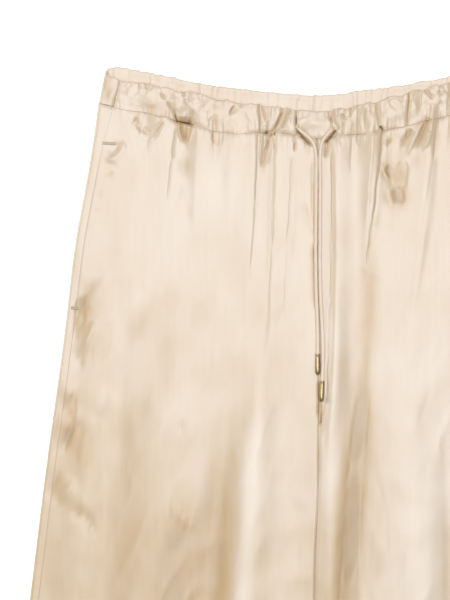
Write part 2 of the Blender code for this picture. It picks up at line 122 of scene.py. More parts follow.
# Every how many rows and columns an under face takes, and how many columns each surface has.
COARSE = 4
ROLL_COLUMNS = 10
FRONT_COLUMNS = 418
BACK_COLUMNS = 42
BAND_COLUMNS = 860
BACK_BAND_COLUMNS = 640
BAND_ROWS = 46
FOLD_STEPS = 13

# How soon the rows of a leg lose the shape of its top edge.
TOP_FADE = 8

# Painted shadow: the browns painted into the cloth's deep creases and its darkest pits.
SHADOW = (0.37, 0.25, 0.14)
PIT_SHADOW = (0.18, 0.11, 0.055)


def table_of(kind, *rows):
    """A table whose rows have named columns."""
    return [kind(*row) for row in rows]


# The side fold's distance from the middle at each height.
Outline = namedtuple("Outline", "down half_width")
OUTLINE = table_of(
    Outline,
    (-12, 203), (0, 204.2), (49, 211.4), (126, 225.1), (204, 234.4), (333, 252), (456, 267.2), (750, 303),
    (1075, 338),
)

# The centre seam and the middle of the gap between the legs.
Centre = namedtuple("Centre", "down across")
CENTRE = table_of(
    Centre,
    (-40, -1), (30, -0.6), (300, 1.4), (350, 1.2), (415, -1.7), (456, -2.5), (1075, -2.5),
)

# The waist's edges, as heights above the front waistband's top edge at the middle.
Edge = namedtuple("Edge", "across up")
FRONT_TOP = table_of(
    Edge,
    (-206, 34), (-192, 31.5), (-183, 27.6), (-170, 25.6), (-158, 24.2), (-147, 21.6), (-138, 20.6),
    (-131, 18), (-125, 16.6), (-117, 17), (-110, 15.8), (-101, 12.2), (-93, 8.4), (-86, 9.2), (-76, 7.2),
    (-66, 5.2), (-56, 5.2), (-47, 3), (-40, 3.6), (-30, 1.6), (-20.5, -0.4), (-10, -0.4), (0, -2),
    (11, -0.6), (20, 1.8), (28, 1), (36, 4), (47, 5.8), (54, 6.4), (60, 9.4), (72, 12.6), (80, 13),
    (88, 17.6), (100, 19.6), (108, 23), (117, 23.8), (124, 26), (135, 27), (146, 30), (161, 32.2),
    (175, 33.4), (183, 35), (192, 36.8), (206, 39),
)
FRONT_SEAM = table_of(
    Edge,
    (-206, 6.3), (-192, 3.2), (-186, 1.6), (-175, -0.6), (-158, -2.8), (-148, -5.6), (-140, -6.6),
    (-131, -10.2), (-122, -11.4), (-109, -15), (-96, -20), (-85, -20.8), (-73, -22.6), (-62, -21),
    (-53, -20.4), (-45, -21.8), (-36, -21), (-27, -21.8), (-16, -24.4), (0, -26.4), (12, -25), (25, -23.2),
    (40, -22.4), (59, -20.2), (68, -17.4), (79, -16), (89, -13.5), (98, -10.4), (107, -9), (124, -4.7),
    (140, -1.4), (161, 2.6), (175, 4.4), (192, 8.2), (206, 10.6),
)
BACK_TOP = table_of(
    Edge,
    (-206, 38), (-192, 39.6), (-185, 39.8), (-170, 37.6), (-158, 35), (-140, 31.8), (-123, 27.8),
    (-108, 25.2), (-93, 22.6), (-77, 20.6), (-62, 18.8), (-40, 16.2), (-19, 15), (0, 14.2), (12, 14.6),
    (35, 17), (59, 20.2), (74, 22.4), (89, 25), (107, 28.2), (124, 32.2), (143, 35.4), (161, 38.6),
    (178, 42.4), (190, 43.6), (206, 42),
)
BACK_SEAM = table_of(
    Edge,
    (-206, 6.3), (-192, 3.4), (-158, 1), (-125, -4.2), (-93, -8), (-56, -11.7), (-19, -15), (0, -15.7),
    (19, -14.5), (59, -9.4), (89, -4.2), (124, 1.8), (161, 6.6), (192, 8.2), (206, 10.6),
)

# Lines on the front from their upper end (x0, y0) to their lower end (x1, y1), across and down.
# "left" and "right" are the widths on either side of it, "head" and "tail" the shares of its
# length in which it fades, 0.3 unless a row says so, and "bow" is how far its middle stands aside.
Line = namedtuple("Line", "x0 y0 x1 y1 left right height head tail bow", defaults=(0.3, 0.3, 0))
FOLDS = table_of(
    Line,
    (-176, -8, -168, 60, 10, 8, 1.2, 0, 1), (-160, 0, -158, 45, 6, 6, -0.8, 0, 0.9),
    (-139, 4, -147, 150, 13, 6, 0.5, 0, 0.8, 2), (-124, 6, -122, 105, 8, 7, -0.4, 0, 0.9),
    (-109, 10, -116, 130, 6, 12, 0.8, 0, 0.8), (-92, 15, -96, 60, 5, 5, -0.7, 0, 0.9),
    (-76, 18, -86, 120, 9, 9, 0.8, 0, 0.9), (-58, 20, -65, 190, 12, 5, 1, 0, 0.7),
    (-48, 20, -54, 70, 5, 5, -1.4, 0, 0.8), (-38, 22, -45, 240, 5, 10, 0.8, 0, 0.7),
    (-21, 22, -29, 200, 8, 5, 0.6, 0, 0.7), (17, 24, 9, 330, 6, 13, 1.9, 0, 0.3, 5),
    (35, 22, 34, 75, 6, 6, -0.5, 0, 0.9), (54, 18, 42, 175, 13, 6, 2.2, 0, 0.6, 3),
    (71, 14, 73, 110, 9, 9, -1.4, 0.2, 0.7), (106, 3, 85, 210, 9, 6, 1.4, 0, 0.7, 4),
    (128, -2, 122, 130, 10, 10, 1.4, 0, 0.9), (147, -6, 146, 90, 7, 7, -1.2, 0, 0.9),
    (166, -10, 172, 160, 12, 7, 1.8, 0, 0.8), (-44, 190, -132, 1075, 20, 22, 3, 0.2, 0.1),
    (-78, 230, -150, 1075, 18, 16, -2.4, 0.2, 0.1, -2), (-122, 150, -196, 1075, 32, 30, 3, 0.2, 0.1, -8),
    (-180, 190, -244, 1075, 24, 24, -1.4, 0.2, 0.1), (-205, 250, -288, 1075, 18, 22, 1.8, 0.2, 0.1, 4),
    (19, 120, 20, 1075, 12, 16, 2.5, 0.2, 0.1, -7), (45, 240, 38, 1075, 16, 18, -0.9, 0.2, 0.1, -14),
    (86, 150, 106, 1075, 34, 34, 3.4, 0.2, 0.1, -2), (118, 280, 132, 1075, 13, 13, -1.3, 0.2, 0.1),
    (158, 260, 176, 1075, 20, 20, 1.8, 0.3, 0.1), (186, 180, 226, 1075, 28, 26, 2.4, 0.2, 0.1),
    (216, 300, 274, 1075, 16, 20, -1.2, 0.2, 0.1),
)

# Creases beside the two cords, where they come over the waist seam.
BESIDE_CORDS = table_of(
    Line,
    (-19.4, 18, -4.2, 34.2, 1.3, 1.1, -2, 0.15, 0.15, -0.6),
    (17.8, 17.8, 5.8, 31.8, 1.1, 1.3, -2, 0.15, 0.15, 0.6),
)

# Creases of the legs, sharper than the folds.
CREASES = BESIDE_CORDS + table_of(
    Line,
    # Below the waistband, wearer's right.
    (-172.1, 10.2, -165.5, 19.5, 1.9, 2.3, -0.8, 0.2, 0.4),
    (-165.5, 19.5, -158.1, 21.4, 1.9, 1.9, -0.6, 0.3, 0.4),
    (-159, 21.4, -143.2, 12.1, 2.8, 2.8, 0.5, 0.3, 0.4), (-154.4, 13, -159, 39.1, 3.7, 3.7, -0.5, 0.2, 0.6),
    (-144.2, 11.2, -146, 27.9, 3.7, 3.7, 0.5, 0, 0.6), (-130.7, 13, -134.8, 48.4, 0.7, 1.2, -1, 0, 0.2),
    (-134.8, 44.6, -139.5, 91.1, 0.6, 1.2, -0.5, 0.1, 0.4),
    (-116.2, 14, -121.8, 37.2, 2.3, 0.9, -1.3, 0, 0.4), (-110.7, 16.7, -112.5, 37.2, 2.8, 2.8, 0.7, 0, 0.6),
    (-96.7, 19.5, -95.8, 37.2, 1.3, 1.3, -0.9, 0, 0.6), (-88.4, 21.4, -89.3, 34.4, 1.9, 1.9, -0.4, 0, 0.6),
    (-62.3, 27.9, -81.8, 52.1, 3.7, 4.7, -0.35, 0.4, 0.4),
    (-54.9, 27, -57.7, 89.3, 0.6, 1.5, -0.65, 0, 0.2),
    (-57.7, 85.6, -63.2, 156.2, 0.8, 3.7, -0.35, 0.1, 0.3, 0.9),
    (-51.2, 26, -53.9, 53.9, 1.3, 1.1, 1.5, 0, 0.4), (-45.1, 26, -52.5, 53.9, 1.2, 2.2, -2.1, 0),
    (-42.3, 25.1, -37.2, 40, 0.7, 0.8, -1.2, 0), (-39.5, 26, -42.8, 132.1, 0.7, 1.1, -0.6, 0, 0.15),
    (-42.8, 127.4, -48.4, 239.9, 0.7, 1.2, -0.35, 0.1, 0.25),
    (-21.2, 26, -21.4, 40.9, 1.4, 1.4, -1.2, 0, 0.5),
    (-23.2, 39.1, -27.9, 132.1, 0.7, 2.2, -0.45, 0.1, 0.2),
    (-27.9, 127.4, -31.6, 206.5, 0.7, 2.2, -0.3, 0.1, 0.4),
    (-31.6, 181.4, -37.2, 205.5, 3.7, 3.7, -0.4, 0.4, 0.4),
    (-14.9, 80.9, -2.8, 119, 4.7, 2.8, -0.8, 0.4, 0.4), (-11.2, 27.9, -7.4, 44.6, 2.8, 2.8, -0.6, 0.1, 0.5),
    (-4.7, 39.1, -3.7, 126.5, 0.9, 1.1, -0.6, 0.2, 0.2), (-3.7, 119, 0.5, 197.2, 2.3, 0.9, -1.3, 0.2),
    # Below the waistband, wearer's left.
    (9.3, 27.9, 7, 46.5, 2, 2, -1.2, 0.1, 0.4), (12.6, 33.5, 14.4, 130.2, 0.6, 1.2, -0.9, 0.1, 0.1),
    (14.4, 125.6, 11.6, 178.6, 0.6, 1.4, -0.8, 0.1, 0.1),
    (11.6, 174.8, 7.4, 269.7, 0.7, 2, -1.1, 0.1, 0.1, 0.9),
    (7.4, 266, 1.9, 301.3, 0.9, 2.8, -1.5, 0.1, 0.1), (21.4, 22.3, 22.3, 37.2, 1.9, 1.9, -0.7, 0, 0.6),
    (32.6, 24.2, 29.8, 67, 1.9, 2.8, -0.6, 0, 0.6), (38.1, 22.3, 37.7, 37.2, 0.9, 1.3, -0.9, 0, 0.6),
    (45.6, 21.4, 45.6, 34.4, 1.9, 1.9, -0.5, 0, 0.6), (52.1, 22.3, 44.6, 116.2, 4.2, 2.3, 1.1, 0, 0.4),
    (60, 19.5, 58.1, 52.1, 0.5, 1.8, -1.5, 0, 0.1), (58.1, 48.4, 51.2, 107.9, 0.6, 1.9, -1.1, 0.08, 0.15),
    (51.2, 102.3, 45.1, 152.5, 1.1, 2.8, -1, 0.1, 0.5), (88.4, 17.7, 74.4, 36.3, 2, 2, -1.8, 0.1, 0.4),
    (96.7, 14, 80, 48.4, 2.8, 2.8, 1.2, 0, 0.5), (100.4, 13, 89.3, 39.1, 2.8, 2.8, -1.8, 0, 0.4),
    (107, 7.4, 105.6, 24.2, 1.5, 1.5, 1.8, 0, 0.1), (106, 20.5, 98.1, 40.9, 2, 1.5, 1.6, 0.1, 0.5),
    (111.6, 8.4, 107.4, 50.2, 1.3, 2.4, -1.5, 0, 0.4), (121.8, 6.5, 120, 37.2, 2.8, 2.8, -0.8, 0, 0.6),
    (107.9, 46.5, 95.8, 119, 2, 4.7, -0.45, 0.2, 0.2), (95.8, 113.5, 84.6, 208.3, 2, 4.7, -0.35, 0.2, 0.4),
    # Long lines lower down.
    (44.6, 234.4, 27.9, 381.3, 5.6, 3.7, -0.35, 0.3, 0.3, -3.7),
    (48.4, 265.1, 39.1, 455.7, 2.8, 5.6, -0.5, 0.3, 0.3, -2.8), (27, 344.1, 19.5, 474.3, 2.8, 5.6, -0.5),
    (107.9, 249.2, 93, 294.8, 2.6, 3.7, -0.35, 0.4, 0.4), (1.2, 306.9, 1.4, 355.3, 1.1, 1.1, -0.7),
    (-141.4, 364.6, -110.7, 393.4, 1.4, 2.3, 0.7, 0.4, 0.4),
    (-129.3, 298.5, -122.8, 289.2, 1.9, 1.9, -0.7, 0.4, 0.4),
    # Beside the pocket and down the side.
    (-178, 26, -199, 49, 3.38, 5.4, 1.49, 0.3, 0.3, 5), (-181, 30, -194, 45, 5.4, 4.05, -1.22, 0.3, 0.4),
    (-187, 58, -199, 63, 2.7, 2.7, -0.4, 0.5, 0.5), (-196, 78, -209, 79, 2.7, 2.7, -0.3, 0.5, 0.5),
    (-197, 153, -225, 219, 5.4, 4.05, -1.35, 0.3, 0.3, -10), (-204, 195, -220, 226, 4.05, 5.4, 1.49),
    (-213, 177, -226, 188, 4.05, 4.05, -1.22), (-230, 223, -215, 238, 4.05, 4.05, -1.22),
    (-241, 254, -224, 266, 4.05, 4.05, 1.35), (-239, 270, -227, 291, 4.05, 4.05, -0.8),
    (-216, 286, -244, 319, 6.75, 5.5, -1.2), (-222, 274, -237, 299, 5.4, 5.4, 0.8),
    (-225, 344, -239, 363, 6.75, 6.75, 1.62), (-237, 372, -204, 401, 2.7, 4.05, -1.35, 0.3, 0.3, 9),
    (-239, 335, -250, 363, 5.4, 5.4, -1.35), (-193, 256, -206, 288, 6.75, 6.75, 0.94, 0.4, 0.4),
    # The other side and the lower legs.
    (178, 22, 197, 44, 4, 2.5, 1, 0.3, 0.3, -4), (200, 76, 209, 79, 2, 2, -0.7, 0.3, 0.5),
    (199, 150, 222, 212, 3, 4, -1, 0.3, 0.3, 7), (207, 190, 219, 228, 4, 3, 1),
    (236, 262, 224, 280, 3, 3, -0.9), (215, 300, 240, 330, 3, 5, -1.3),
    (230, 372, 206, 398, 3, 2, -1, 0.3, 0.3, -6), (-214, 520, -238, 640, 6, 4, -1.3),
    (-100, 560, -118, 760, 5, 3, -1.2, 0.3, 0.3, 4), (40, 560, 46, 780, 4, 6, -1.4),
    (150, 520, 176, 700, 5, 4, -1.2), (236, 600, 262, 820, 6, 4, 1.2, 0.3, 0.3, 4),
    (-190, 760, -204, 960, 5, 7, -1.4), (96, 760, 104, 1000, 7, 4, 1.3), (-36, 820, -44, 1010, 4, 6, 1.1),
)

# Creases of the front waistband.
BAND_CREASES = BESIDE_CORDS + table_of(
    Line,
    # The strip beside the side seam.
    (-190, -27, -186, -17, 2.5, 1.5, -0.9, 0.3, 0.4), (-197, -26, -199, -8, 1.5, 2.5, -0.8, 0.3, 0.4),
    (-192, -20, -194, -9, 1.8, 1.8, 0.8, 0.4, 0.4), (-187, -12, -190, -4, 1, 1.6, -0.9, 0.3, 0),
    # From the side seam to the large bulge.
    (-164.6, -25.1, -165.2, -18.6, 0.9, 1.1, -1.1, 0, 0.6),
    (-158.1, -25.1, -158.1, -18.6, 0.9, 1.1, -1.2, 0, 0.6),
    (-175.8, -24.2, -177.6, -13, 2.8, 1.9, -0.5, 0.45, 0.6),
    (-171.1, -6.5, -175.8, 1.9, 2.8, 1.9, -0.5, 0.45, 0.45),
    (-153.5, -6.5, -155.3, 5.6, 1.9, 1.9, -0.6, 0.45, 0),
    (-146.5, -18.6, -140.4, -8.4, 0.9, 1.3, -1.3, 0.45, 0.45),
    (-141.4, -10.2, -132.5, 3.7, 0.8, 1.7, -1.8, 0.45, 0.45),
    (-138.6, -12.1, -129.3, -14.9, 1.3, 1.3, -0.6, 0.45, 0.45),
    (-133.9, -3.7, -131.1, 8.4, 1.1, 1.3, -2.6, 0.45, 0),
    (-124.2, -19.5, -122.8, -12.1, 1.1, 1.1, -1.8, 0, 0.45),
    (-122.8, -13, -120, -3.7, 1.5, 1.1, -0.9, 0.45, 0.45),
    (-118.1, -14, -118.6, -7.4, 1.1, 1.1, -0.8, 0, 0.45), (-116.2, -3.7, -113, 13, 1.5, 1.1, -1.6, 0.45, 0),
    # Between the bulge and the knot of gathers.
    (-108.8, -13, -105.1, -1.9, 2.8, 1.9, -0.6, 0, 0.5), (-95.3, 5.6, -95.8, 21.4, 0.8, 1.1, -0.9, 0.45, 0),
    (-100.4, -1.9, -102.3, 16.7, 2.2, 1.9, 0.5, 0.3, 0.2),
    (-75.8, -7.4, -82.3, 5.6, 0.8, 1.5, -1.6, 0.45, 0.45),
    (-69.8, -8.4, -71.1, -2.8, 0.9, 0.9, -0.8, 0, 0.5), (-66, 13, -63.2, 22.3, 1.5, 1.5, -0.5, 0.45, 0),
    # The knot of gathers.
    (-53.9, -2.8, -53, 23.2, 0.7, 1, -1.8, 0, 0), (-50.7, -1.9, -46.5, 12.1, 1.1, 1.5, -1.7, 0, 0.45),
    (-45.1, -2.8, -44.6, 9.3, 1.1, 0.9, 0.8, 0, 0.45), (-44.6, 5.6, -46.5, 21.4, 0.9, 0.9, -1.6, 0.45, 0),
    (-32.1, -2.8, -42.3, 20.5, 1.1, 1.1, -2.3, 0, 0, 0.9),
    (-27.9, -3.7, -38.1, 19.5, 1.5, 1.1, 1.9, 0, 0.1, 0.9),
    (-24.6, -0.9, -33, 18.6, 0.9, 1.5, -1.6, 0.1, 0.2), (-39.1, 15.8, -39.5, 25.1, 1.1, 1.1, -2.2, 0.45, 0),
    (-29.8, 16.7, -30.7, 25.1, 1.5, 1.5, -0.8, 0.45, 0),
    (-23.7, 1.9, -23.2, 14.9, 0.9, 0.9, -0.6, 0.45, 0.45), (-46.5, 18.6, -46.5, 22.6, 1.9, 1.9, -3, 0.4),
    (-39.5, 20.5, -39.5, 23.5, 1.2, 1.2, -2.4, 0.4),
    # Beside the holes of the drawstring.
    (-19.5, -2.8, -18.6, 24.2, 1, 1, -2.2, 0, 0), (-14.9, -1.9, -14, 11.2, 1.9, 1.9, -0.5, 0, 0.45),
    (10.7, -2.8, 13, 11.2, 0.9, 0.9, -1.6, 0, 0.45), (8.4, -2.8, 7.4, 7.4, 1.5, 1.5, -0.5, 0, 0.5),
    # Small gathers.
    (14.9, -0.9, 20.5, 18.6, 0.9, 1.5, -1.3, 0, 0.1), (18.6, -2.8, 19.1, 6.5, 0.9, 0.9, -1.3, 0, 0.45),
    (21.4, 0.9, 28.4, 8.8, 1, 1.2, -1.9, 0.45, 0.45, -0.9), (30.2, -6.5, 31.2, 5.6, 0.8, 1, -2, 0, 0.45),
    (25.1, 7.4, 23.7, 22.3, 0.9, 1.1, -1, 0.45, 0), (33.5, -5.6, 33, 1.9, 1.1, 1.1, 0.8, 0, 0.5),
    (31.6, 9.3, 33.5, 23.2, 1.3, 1.3, -0.9, 0.45, 0), (37.7, -3.7, 38.6, 21.4, 0.7, 0.9, -1.1, 0, 0),
    (45.1, -4.7, 46, 20.5, 0.9, 1.3, -0.8, 0.2, 0), (50.2, -6.5, 49.3, 5.6, 1.1, 1.1, -0.6, 0, 0.5),
    (54.9, -8.4, 58.1, 19.5, 0.7, 1.4, -1.2, 0, 0), (57.8, 14.5, 61.5, 20, 0.9, 0.9, -1.8, 0.3, 0.2),
    # Wide smooth stretch and the next gathers.
    (67.9, -9.3, 68.8, 0, 1.9, 1.9, -0.4, 0, 0.5), (85.1, -13, 82.8, 15.8, 1, 1.5, -1.9, 0, 0),
    (87.9, -13, 86, 14.9, 1.1, 2.4, 0.7, 0, 0), (76.3, -13, 79, -3.7, 1.5, 1.5, -0.6, 0, 0.5),
    (95.8, -14.9, 96.7, 12.1, 2.8, 2.2, -0.9, 0, 0), (102.3, -17.7, 107.9, -10.2, 1, 1.3, -1.6, 0, 0.45),
    (110.7, -19.5, 117.2, -14, 1, 1.3, -1.4, 0.45, 0.45),
    (115.3, -24.2, 120.9, -15.8, 1, 1.3, -1.2, 0, 0.45),
    (105.1, -6.5, 103.2, 10.2, 1.5, 2.2, -0.9, 0.45, 0), (114.4, -11.2, 111.6, 7.4, 1.3, 1.3, -1.1, 0.3, 0),
    (122.8, -20.5, 120.9, 3.7, 1.1, 1.9, -1.3, 0, 0), (129.3, -24.2, 130.2, 1.9, 1.1, 1.5, -1.2, 0, 0),
    (136.7, -26, 134.8, 0, 1.3, 1.3, -1, 0, 0), (146, -28.8, 148.8, -3.7, 1.1, 1.9, -1.4, 0, 0),
    (158.1, -30.7, 156.2, -6.5, 1.5, 1.1, -1, 0, 0), (168.3, -33.5, 170.2, -10.2, 1.1, 1.3, -1.2, 0, 0),
    (178.6, -35.3, 176.7, -12.1, 1.3, 1.3, -0.9, 0, 0),
)

# Swellings and hollows: their middle, half width and half length, and their height.
Blob = namedtuple("Blob", "x y wide long height")
LEG_BLOBS = table_of(
    Blob,
    (-123.7, 22.3, 6, 11.2, -0.8), (-123.7, 52.1, 5.6, 8.4, -0.9), (-129.3, 76.3, 4.7, 7.4, -0.6),
    (-121.8, 96.7, 4.7, 8.4, -0.5), (64.2, 56.7, 4.2, 5.6, -0.9), (73.5, 55.8, 8.4, 11.2, -1),
    (76.3, 80, 8.4, 11.2, -1.1), (66, 81.8, 3.7, 4.7, -0.6), (86.5, 46.5, 5.6, 8.4, -0.7),
    (71.6, 106, 5.6, 8.4, -0.5),
)
BAND_BLOBS = table_of(
    Blob,
    (-123.2, 2.8, 7, 7, 2), (-131.1, -8.4, 5.6, 4.7, 0.7), (-108.8, 1.9, 4.7, 5.6, 0.8),
    (-84.6, 9.3, 8.4, 7.4, 0.6), (-62.3, 7.4, 6.5, 8.4, 0.7), (-67.9, -1.9, 5.6, 4.7, 0.4),
    (-48.8, 16.7, 2.8, 3.7, 0.9), (-25.1, 7.4, 3.7, 7.4, 0.9), (-29.8, 11.2, 3.7, 4.7, 0.5),
    (-2.8, 13, 12.1, 10.2, 0.7), (21.4, 13, 3.7, 4.7, 0.6), (41.9, 7.4, 3.7, 8.4, 0.7),
    (51.2, 9.3, 3.7, 7.4, 0.6), (69.8, 3.7, 8.4, 8.4, 0.9), (91.1, -1.9, 3.7, 8.4, 0.6),
    (107.9, 0, 5.6, 6.5, 0.7), (-164.6, -10.2, 11.2, 6.5, 0.5),
)

# Painted shade and painted highlights of the folds: where the cloth's colour is deeper (more than 0) it is
# painted shade, and where it is paler (less than 0) it is painted highlight.
SHADE_LINES = table_of(
    Line,
    (50, 195, 29, 520, 10, 10, 0.95, 0.3, 0.15, -5), (32, 400, 36, 1075, 10, 12, 0.6, 0.15, 0.1),
    (51, 100, 45, 262, 10, 8, 0.5, 0.4, 0.4), (27, 300, 8, 560, 10, 12, 0.5),
    (119, 325, 122, 1075, 4, 9, 0.35, 0.1, 0.1), (-88, 280, -104, 620, 14, 12, 0.4, 0.3, 0.4),
    (-150, 166, -176, 226, 9, 9, 0.3, 0.4, 0.4), (-50, 220, -84, 620, 9, 8, -0.45, 0.3, 0.4),
    (-125, 320, -150, 620, 20, 20, 0.25, 0.3, 0.4), (12, 170, 8, 390, 8, 8, -0.3, 0.2, 0.2),
    (100, 14, 90, 40, 4, 4, 0.5, 0, 0.6),
)
SHADE_BLOBS = table_of(
    Blob,
    (-124, 52, 5, 8, 0.4), (71, 60, 11, 12, 0.45), (74, 82, 12, 11, 0.5), (65, 56, 4, 5, 0.3),
    (-213, 192, 11, 26, 0.4), (-230, 268, 11, 17, 0.35), (-226, 308, 14, 24, 0.45),
    (-170, 420, 120, 150, 0.4), (130, 380, 60, 170, -0.3), (-100, 90, 60, 45, -0.15),
    (-146, 0, 20, 12, 0.2), (-193, -14, 4, 10, 0.35), (-197, -24, 3, 6, 0.3),
)
# Flat facets of the cloth that turn away from the light, with crisp edges, and painted shade on them.
FACETS = table_of(
    Line,
    (-123.7, 13.5, -123.7, 37, 6.6, 6.6, 0.7, 0, 1), (-46, 25, -52.5, 53, 1.8, 2.2, 0.45, 0.3, 0.6, 1),
    (66, 50, 66, 64, 4.5, 4.5, 0.25), (71, 71, 76, 89, 6.5, 6.5, 0.28),
    (80, 46, 76, 76, 6, 6, 0.22, 0.25, 0.25), (45, 250, 34, 335, 9, 7, 0.1), (36, 325, 27, 450, 9, 9, 0.1),
    (52, 330, 60, 470, 13, 10, 0.08, 0.3, 0.2), (-218, 168, -226, 216, 7, 6, 0.2),
    (-228, 260, -238, 320, 8, 7, 0.2), (-205, 285, -216, 336, 9, 8, 0.12),
    (-196, 192, -206, 240, 6, 9, 0.1), (-170, 6, -163, 24, 3.6, 3.6, 0.26, 0.2, 0.5),
    (-163, 17, -155, 25, 3.4, 3.4, 0.26, 0.3, 0.4), (-142, 9, -154, 29, 2.4, 2.4, 0.24, 0.3, 0.4),
    (-31, 0, -41, 19, 1.7, 1.4, 0.6, 0.3, 0.3, 0.8), (-96, 20, -94, 36, 4, 5, 0.16, 0.1, 0.6),
    (-20.6, 29, -21, 40, 1.4, 1.4, 0.35, 0.3, 0.6), (8.2, 33, 7, 46, 2.6, 2.2, 0.2, 0.2, 0.6),
    (66, 25, 65, 36, 4, 4, 0.13, 0.3, 0.5), (3.4, 266, 1.9, 304, 3.1, 3.1, 0.85, 0, 0.9),
    (-120, 330, -136, 420, 9, 12, 0.1),
)
# Narrow places where the cloth lies in its own shadow.
PIT_LINES = table_of(
    Line,
    (59.5, 20, 46, 148, 0.4, 0.8, 0.3, 0, 0.4), (13.5, 36, 12, 178, 0.5, 0.6, 0.5, 0.05, 0.1),
    (-133, 3, -130.5, 9.6, 0.6, 0.7, 1.3, 0.4, 0), (-131, 9.9, -114.5, 13, 0.6, 0.5, 1.2, 0.1, 0.4, -0.5),
    (-19.4, 18, -4.2, 34.2, 1.5, 1.3, 1.2, 0.2, 0.2, -0.6),
    (17.8, 17.8, 5.8, 31.8, 1.3, 1.5, 1.2, 0.2, 0.2, 0.6), (89, 17, 75, 37, 1.6, 2, 0.35, 0.2, 0.5),
    (-54, -2, -53, 23, 0.45, 0.5, 0.5, 0, 0), (-19.6, 4.6, -19.4, 18.2, 0.6, 0.6, 1.4, 0.2, 0.1),
    (12.9, 3.2, 13.2, 17.6, 0.5, 0.5, 1, 0.3, 0.1), (85, -12, 83, 16, 0.6, 0.8, 0.6, 0, 0),
    (57.8, 14.5, 61.5, 20, 0.9, 0.9, 2, 0.2, 0.2), (-187, 57, -199, 63, 1.8, 1.8, 0.3),
    (-196, 78, -209, 78, 1.6, 1.6, 0.25), (-199, 93, -209, 93, 1.6, 1.6, 0.2),
    (-3.4, 60, -3, 190, 0.8, 0.6, 0.4, 0.1, 0.1), (-75.6, -7, -82, 5, 0.5, 0.6, 0.6),
)
PIT_BLOBS = table_of(
    Blob,
    (-47, 21.2, 1.7, 1, 1.9), (-39.7, 22.4, 0.8, 1.8, 1.6), (66.5, 30, 3, 3, 0.4),
    (21.5, -0.5, 1, 0.8, 0.8), (17, 18.5, 2.2, 3, 0.3), (-118, 11, 2.5, 2.5, 0.5), (30, 6, 1.3, 1.6, 0.7),
)

# How strong the uneven gathers are on the waistband and on the legs, and how deep the waist seam is.
Gather = namedtuple("Gather", "across band leg depth")
GATHERS = table_of(
    Gather,
    (-206, 0.3, 0.2, 0.3), (-165, 0.3, 0.35, 0.3), (-140, 0.3, 0.4, 0.4), (-132, 0.3, 0.3, 2.2),
    (-114, 0.3, 0.3, 2.2), (-107, 0.4, 0.3, 0.6), (-70, 0.25, 0.2, 0.5), (-57, 0.5, 0.5, 0.9),
    (-46, 0.9, 0.8, 2.6), (-36, 0.5, 0.5, 1), (-19, 0.7, 0.5, 2), (-13, 0.2, 0.2, 0.8), (11, 0.2, 0.2, 0.8),
    (16, 0.9, 0.5, 2), (26, 0.8, 0.4, 0.9), (52, 0.5, 0.4, 0.9), (59, 0.5, 0.4, 2.4), (66, 0.3, 0.3, 0.8),
    (82, 0.3, 0.3, 0.6), (95, 0.6, 0.5, 0.6), (125, 0.9, 0.6, 0.8), (206, 0.6, 0.5, 0.8),
)

# The drawstring's two free ends, from the hole in the waistband to the metal tip.
Route = namedtuple("Route", "across down")
CORD_ROUTES = {
    "right": table_of(
        Route,
        (-20.5, 13.5), (-16, 18.8), (-10.5, 23.6), (-5.6, 28.2), (-2.4, 34.5), (-1.1, 43), (-0.9, 62),
        (-1.1, 90), (-1.3, 120), (-1.3, 145), (-0.9, 168), (-0.1, 190), (0.4, 208), (0.4, 230.5),
    ),
    "left": table_of(
        Route,
        (16.5, 13.5), (13.4, 18.4), (9.4, 22.8), (5.6, 27.6), (3.4, 34.5), (2.7, 43), (2.8, 62), (2.7, 90),
        (2.6, 120), (2.6, 145), (3, 168), (4, 190), (5, 208), (5.3, 226), (5.1, 240), (4.4, 255.5),
    ),
}

# The buttonholes in the waistband that the cords leave through, upright, with their half lengths.
Hole = namedtuple("Hole", "across down long")
HOLES = {"right": Hole(-19.6, 11.4, 6.8), "left": Hole(13.1, 10.4, 7.2)}

# A metal tip from its mouth to its rounded end.
Ring = namedtuple("Ring", "along radius")
TIP_RINGS = table_of(
    Ring,
    (0.5, 1.6), (0, 1.75), (0, 2.05), (0.25, 2.2), (1.5, 2.2), (1.8, 2.05), (2.1, 1.95), (2.5, 1.95),
    (2.9, 2.05), (6, 2.18), (10, 2.32), (14, 2.4), (16, 2.36), (17.4, 2.14), (18.4, 1.74), (19, 1.26),
    (19.4, 0.66), (19.5, 0.05),
)

# The ends of the pocket openings, as the two ends of each row of tacking stitches.
Tack = namedtuple("Tack", "across0 down0 across1 down1")
TACKS = table_of(
    Tack,
    (-199.5, 31, -186.5, 31.8), (-228.6, 184, -221.6, 184.6), (186.5, 31.2, 199.5, 30.6),
    (221.6, 184.4, 228.6, 183.8),
)


def column(table, name):
    """One column of a table as an array, in metres."""
    return np.array([getattr(row, name) for row in table], float) * MM


def curve_through(knots, values, at):
    """The smooth curve through the knots: cubic pieces whose slopes come from the neighbours."""
    slopes = np.gradient(values, knots)
    at = np.clip(at, knots[0], knots[-1])
    i = np.clip(np.searchsorted(knots, at) - 1, 0, len(knots) - 2)
    span = knots[i + 1] - knots[i]
    t = (at - knots[i]) / span
    return (
        (2 * t**3 - 3 * t**2 + 1) * values[i]
        + (t**3 - 2 * t**2 + t) * span * slopes[i]
        + (3 * t**2 - 2 * t**3) * values[i + 1]
        + (t**3 - t**2) * span * slopes[i + 1]
    )


def ramp(share):
    """0 to 1 with soft ends as share goes from 0 to 1."""
    share = np.clip(share, 0, 1)
    return share * share * (3 - 2 * share)


def mix(a, b, share):
    return a + (b - a) * share


def half_width(down):
    """From the middle to the side fold of the leg."""
    return curve_through(column(OUTLINE, "down"), column(OUTLINE, "half_width"), down)


def side_seam(down):
    """From the middle to the side seam, which lies a little on the front."""
    return half_width(down) - WRAP - WRAP_AT_WAIST * np.exp(-np.maximum(down, 0) / WRAP_FADE)


